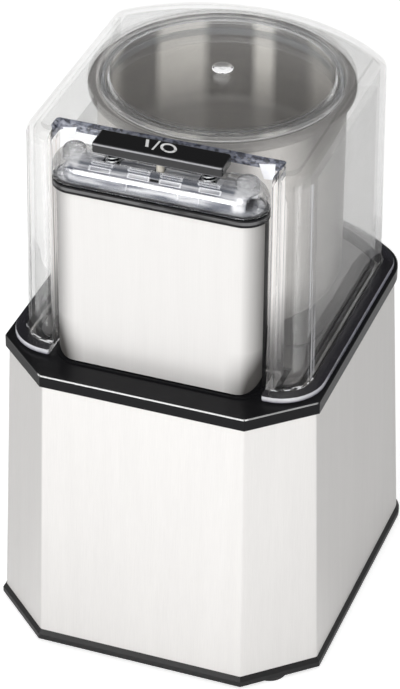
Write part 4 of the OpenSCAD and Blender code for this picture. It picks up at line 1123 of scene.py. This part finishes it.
def screw_boss(name, x, z0, top):
    """A clear screw dome over its pale core."""
    r, spring, crown = 5.2, top - 1.9, (0.25, 0.5, 0.75, 1.0, 1.25, 1.45)
    dome = [(CENTRE, z0 + 7.5), (5.0, z0 + 7.5), (r, z0 + 8), (r, spring)]
    dome += [(r * math.cos(a), spring + 2.8 * math.sin(a)) for a in crown]
    core = [(CENTRE, z0 + 0.7), (4.4, z0 + 0.7), (4.4, z0 + 6.4), (3.6, z0 + 7.3), (CENTRE, z0 + 7.3)]
    for piece, slot in (
        (turned("dome_" + name, dome + [(CENTRE, top + 0.9)], "dome plastic", n=48), "clear_plastic"),
        (turned("boss_core_" + name, core, "lit edge", n=40), "light_plastic"),
    ):
        piece.location = (x * MM, BOSS_Y * MM, 0)
        settle(piece, "lid", slot)


def button_tray(z0, loop, cy, cz, radius, rise_to):
    """The pale tray in the clear housing, low enough for the sunk bar, with two rows of windows in front."""
    half = 36.0
    loops = [loop(radius, z0 + 0.1), loop(radius, z0 + 0.6)]
    loops += [loop(radius, z0 + 0.7, half), loop(radius, cz, half)]
    for a in (0.2, 0.4, 0.6, 0.8, 1.0, 1.2, 1.4):
        loops.append(loop(radius * math.cos(a), cz + rise_to * math.sin(a), half))
    tray = shape("button_tray", loops, "pale tray", weighted=False)
    middle = (low("button_springs").y + high("button_springs").y) / 2
    for px, py, hole in ((-SPRING_X, middle, 4.1), (SPRING_X, middle, 4.1), (0.0, STEM_Y, 2.2)):
        carve(tray, (px - hole, py - hole, z0 - 1), (px + hole, py + hole, z0 + 12))
    settle(tray, "lid", "light_plastic")

    def bars(name, patches, finish_name):
        """Raised patches on the tray: from x to x, from angle to angle, and how far they stand off."""
        points, faces = [], []
        for x0, x1, t0, t1, off in patches:
            steps = max(1, round((t1 - t0) / 6))
            start = len(points)
            for i in range(steps + 1):
                a = math.radians(t0 + (t1 - t0) * i / steps)
                for o in (-0.1, off):
                    y, z = cy - (radius + o) * math.cos(a), cz + (rise_to + o) * math.sin(a)
                    points += [(x0, y, z), (x1, y, z)]
            for p in range(start, start + 4 * steps, 4):
                q = p + 4
                faces += [(p, p + 2, q + 2, q), (p + 2, p + 3, q + 3, q + 2)]
                faces += [(p + 3, p + 1, q + 1, q + 3), (p + 1, p, q, q + 1)]
            last = start + 4 * steps
            faces += [(start, start + 1, start + 3, start + 2), (last, last + 2, last + 3, last + 1)]
        settle(add_mesh(name, points, faces, finish_name, weighted=False), "lid", "light_plastic")

    lines, off = [], 0.3
    for centres, t0, t1 in (((-25.5, -7.7, 6.8, 24.9), 36, 52), ((-25.1, -8.3, 6.5, 23.6), 58.5, 70)):
        for x in centres:
            lines += [(x - 4.9, x - 4.5, t0, t1, off), (x + 4.5, x + 4.9, t0, t1, off)]
            lines += [(x - 4.9, x + 4.9, t1 - 2.6, t1, off), (x - 4.9, x + 4.9, t0, t0 + 1.6, off)]
    lines += [(x, x + 0.2, -8, 14, 0.2) for x in (-12.5, 11.0, 20.5)]
    bars("tray_windows", lines, "lit edge")
    bars("tray_catch", [(-2.5, 1.8, 39, 47, 0.35)], "column black")


def button_housing():
    """The clear housing: a long half-round shell with ball ends, and a domed boss at each end."""
    base = high("button_base")
    z0, top = base.z, base.z + 13.9
    front, back = low("button_base").y, base.y - 0.4
    radius = (back - front) / 2
    cy, cz, wall = (front + back) / 2, top - radius, 1.6

    def loop(r, z, half=base.x - radius):
        right = [(0, cy - r), (half * 0.5, cy - r), *arc(half, cy, r, -90, 90, 16), (half * 0.5, cy + r)]
        return lift(mirrored(right + [(0, cy + r)]), z)

    def dome(r, angles):
        return [loop(r * math.cos(a), cz + r * math.sin(a)) for a in angles]

    small, rise = radius - wall, (0, 0.2, 0.4, 0.6, 0.8, 1.0, 1.2, 1.35)
    loops = [loop(radius, z0), *dome(radius, (*rise, 1.46))]
    loops += [*dome(small, (1.44, *reversed(rise))), loop(small, z0)]
    shell = shape("button_shell", loops, "thick clear plastic", ring=True, weighted=False)
    gap, sunk = 0.7, BAR_HIGH.z - BAR_T - PRESS
    opening = (BAR_LOW.x - gap, BAR_LOW.y - gap, sunk - gap), (BAR_HIGH.x + gap, BAR_HIGH.y + gap, top + 4)
    carve(shell, *opening)
    settle(shell, "lid", "clear_plastic", "button_housing")
    for name, x in (("left", -BOSS_X), ("right", BOSS_X)):
        screw_boss(name, x, z0, top)
    button_tray(z0, loop, cy, cz, radius - 2.4, sunk - 0.6 - cz)


def notch_tabs():
    """Two pale tabs on the notch's rear wall, behind the ends of the clear housing."""
    for name, points in (
        ("left", [(-49.3, 259.1), (-42.7, 260.4), (-44.2, 255.0), (-47.6, 253.6)]),
        ("right", [(41.0, 259.9), (48.3, 261.2), (48.0, 253.4), (43.4, 253.0)]),
    ):
        loops = [[(x, y, z) for x, z in points] for y in (NOTCH_HEAD - 0.3, NOTCH_HEAD + 0.05)]
        settle(shape("tab_" + name, loops, "lit edge", weighted=False), "lid", "clear_plastic")


def on_off_sign(z, y):
    """A printed on and off sign: a stroke, a slanted stroke and a ring."""
    points, faces = [], []

    def plate(corners):
        base, n = len(points), len(corners)
        leant = [(px - 0.3 * py, y + py) for px, py in corners]
        points.extend((px, py, z + h) for h in (-0.02, PRINT_T) for px, py in leant)
        faces.append(tuple(range(base + n, base + 2 * n)))
        faces.append(tuple(reversed(range(base, base + n))))
        faces.extend(strip(base, base + n, n))

    plate([(-7.3, -1.4), (-5.9, -1.4), (-5.9, 4.4), (-7.3, 4.4)])
    plate([(-4.4, -2.8), (-3.5, -2.8), (-0.6, 5.0), (-1.5, 5.0)])
    n, inside, outside = 40, 2.4, 3.6
    for j in range(n):
        a, b = TAU * j / n, TAU * (j + 1) / n
        corners = ((inside, a), (outside, a), (outside, b), (inside, b))
        plate([(3.2 + r * 1.05 * math.cos(t), 0.9 + r * math.sin(t)) for r, t in corners])
    settle(add_mesh("on_off_sign", points, faces, "white print", weighted=False), "button", "gloss_black")


class GRINDER_OT_button(bpy.types.Operator):
    """Builds the push bar with its sign and posts, and the clear housing round it with its tray"""

    bl_idname = "grinder.button"
    bl_label = "Push button"

    def execute(self, context):
        dress("black band", "button_base")
        dress("zinc plating", "housing_screws", "button_clips", "button_springs")
        compress("button_springs")
        push_bar(context.scene.grinder_form.button_edge)
        on_off_sign(BAR_HIGH.z - PRINT_ROOM, (BAR_LOW.y + BAR_HIGH.y) / 2)
        button_housing()
        notch_tabs()
        return {"FINISHED"}


class GRINDER_OT_bowl(bpy.types.Operator):
    """Builds the spun steel bowl, and dresses its base and the blade"""

    bl_idname = "grinder.bowl"
    bl_label = "Bowl and blade"

    def execute(self, context):
        z, top, r, wall, e = BOWL_Z, BOWL_TOP, 56.0, 1.2, 9.0
        bead, rim, hole, middle = 1.6, 60.3, 9.1, BOWL_Z + 40
        profile = [(hole, z), (r - e - 6, z), *arc(r - e, z + e, e, -90, 0, 8), (r, middle), (r, top - 6)]
        profile += [(r, top - wall - 1.2), (r + 0.4, top - wall - 0.4), (r + 1.2, top - wall)]
        profile += arc(rim - bead, top - bead, bead, 195, 450, 14)
        profile += [(r - wall + 1.6, top), (r - wall + 0.5, top - 0.5), (r - wall, top - 1.6), (r - wall, middle)]
        profile += [*arc(r - e, z + e, e - wall, 0, -90, 8), (r - e - 6, z + wall), (hole, z + wall)]
        settle(turned("spun_bowl", profile, "spun steel", AXIS_Y, n=160), "bowl_body", "brushed_skin", "bowl")
        dress("moulded black", "bowl_base", "blade_coupling")
        dress("brass", "blade_bushing")
        dress("soft rubber", "shaft_seal")
        dress("ground steel", "blade_shaft")
        dress("blade steel", "blade", "blade_nut", "blade_washer")
        return {"FINISHED"}


class GRINDER_OT_motor(bpy.types.Operator):
    """Dresses the motor and its fixings inside the housing"""

    bl_idname = "grinder.motor"
    bl_label = "Motor"

    def execute(self, context):
        dress("stacked sheets", "stator_core", "armature_core")
        dress("enamelled wire", "field_coils", "armature_windings")
        dress("brass", "commutator", "brush_holders")
        dress("cast alloy", "upper_bracket", "lower_bracket")
        dress("ground steel", "motor_shaft", "upper_bearing", "lower_bearing")
        dress("carbon", "carbon_brushes")
        dress("soft rubber", "motor_mounts")
        dress("zinc plating", "motor_screws", "stator_bolts", "tie_screws")
        dress("moulded black", "cooling_fan", "motor_coupling")
        return {"FINISHED"}


def floor():
    """A pale floor: near white where it is seen, and brighter ahead of the grinder where gloss mirrors it."""
    half = 9
    corners = [(x * half, y * half, 0) for x, y in ((-1, -1), (1, -1), (1, 1), (-1, 1))]
    mesh = bpy.data.meshes.new("floor")
    mesh.from_pydata(corners, [], [(0, 1, 2, 3)])
    obj = bpy.data.objects.new("floor", mesh)
    bpy.context.collection.objects.link(obj)
    f = Finish("floor paint")
    seen, gloss, through = f.rays("Camera", "Glossy", "Transmission")
    paint = f.skin(Base_Color=f.blend(f.grain(9), 0.84, 0.86), Roughness=0.9)
    x, y, _ = f.axes()
    ahead = f.ramp(y * -1 + x * 0.25, 0.02, 0.2)
    level = f.math("MAXIMUM", seen, through) * 0.6 + gloss * (0.12 + ahead * 0.42)
    glow = f.node("ShaderNodeEmission", sockets={"Color": f.blend(level, 0, 1), "Strength": 1.0})
    f.close(f.node("ShaderNodeAddShader", sockets={0: paint, 1: glow}))
    mesh.materials.append(f.material)


def room(strength):
    """White where it is seen, plain light elsewhere, and dim high up behind where gloss mirrors it."""
    world = bpy.data.worlds.new("room")
    bpy.context.scene.world = world
    f = Room(world)
    seen, gloss, through = f.rays("Camera", "Glossy", "Transmission")
    _, y, z = f.axes(f.node("ShaderNodeTexCoord", out="Generated"))
    behind = f.ramp(y * 0.6 + z * 0.8, 0.3, 0.85)
    tone = f.blend(gloss * behind, 1, 0.2)
    plain = f.node("ShaderNodeBackground", sockets={"Color": tone, "Strength": strength})
    white = f.node("ShaderNodeBackground", sockets={"Color": 1, "Strength": 1.0})
    f.close(f.mixed(f.math("MAXIMUM", seen, through), plain, white))


def lamp(name, place, aim, power, wide, deep):
    data = bpy.data.lights.new(name, "AREA")
    data.shape = "RECTANGLE"
    data.energy = power
    data.size = wide
    data.size_y = deep
    obj = bpy.data.objects.new(name, data)
    bpy.context.collection.objects.link(obj)
    obj.location = place
    obj.rotation_euler = (Vector(aim) - Vector(place)).to_track_quat("-Z", "Y").to_euler()


def camera(scene):
    yaw, pitch, roll = -0.3472, 0.601, 0.0079
    place = (0.42266, -1.18189, 0.98207)
    ahead = Vector((math.sin(yaw) * math.cos(pitch), math.cos(yaw) * math.cos(pitch), -math.sin(pitch)))
    right = Vector((math.cos(yaw), -math.sin(yaw), 0))
    up = right.cross(ahead)
    side = right * math.cos(roll) + up * math.sin(roll)
    top = up * math.cos(roll) - right * math.sin(roll)
    data = bpy.data.cameras.new("camera")
    data.lens = 170.4
    data.sensor_width = 36
    obj = bpy.data.objects.new("camera", data)
    scene.collection.objects.link(obj)
    obj.matrix_world = Matrix.Translation(place) @ Matrix((side, top, -ahead)).transposed().to_4x4()
    scene.camera = obj


class GRINDER_OT_stage(bpy.types.Operator):
    """Sets up the floor, the lamps, the room's light and the camera"""

    bl_idname = "grinder.stage"
    bl_label = "Stage"

    def execute(self, context):
        scene = context.scene
        look = scene.grinder_stage
        scene.view_settings.view_transform = "Standard"
        floor()
        room(look.world)
        lamp("key_lamp", (-0.39, -1.38, 0.55), (0, -0.07, 0.25), look.key_power, 1.1, 0.22)
        lamp("front_lamp", (0.5, -1.2, 1.2), (0, 0, 0.12), look.fill_power, 1.0, 1.0)
        camera(scene)
        return {"FINISHED"}


class GRINDER_PT_panel(bpy.types.Panel):
    """Lists the grinder's pieces in the 3D view's sidebar"""

    bl_label = "Spice grinder"
    bl_space_type = "VIEW_3D"
    bl_region_type = "UI"
    bl_category = "Grinder"

    def draw(self, context):
        for name in GROUPS:
            group = getattr(context.scene, name)
            for key in group.__annotations__:
                self.layout.prop(group, key)
        for piece in PIECES:
            self.layout.operator(piece.bl_idname)


GROUPS = {
    "grinder_metal": GrinderMetal,
    "grinder_plastic": GrinderPlastic,
    "grinder_form": GrinderForm,
    "grinder_stage": GrinderStage,
}
PIECES = (
    GRINDER_OT_stage,
    GRINDER_OT_housing,
    GRINDER_OT_deck,
    GRINDER_OT_column,
    GRINDER_OT_bowl,
    GRINDER_OT_lid,
    GRINDER_OT_button,
    GRINDER_OT_motor,
)


def register():
    for name, group in GROUPS.items():
        bpy.utils.register_class(group)
        setattr(bpy.types.Scene, name, bpy.props.PointerProperty(type=group))
    for cls in (*PIECES, GRINDER_PT_panel):
        bpy.utils.register_class(cls)


def unregister():
    for cls in (GRINDER_PT_panel, *reversed(PIECES)):
        bpy.utils.unregister_class(cls)
    for name, group in GROUPS.items():
        delattr(bpy.types.Scene, name)
        bpy.utils.unregister_class(group)


def main():
    register()
    for piece in PIECES:
        area, _, verb = piece.bl_idname.partition(".")
        getattr(getattr(bpy.ops, area), verb)()


if __name__ == "__main__":
    main()
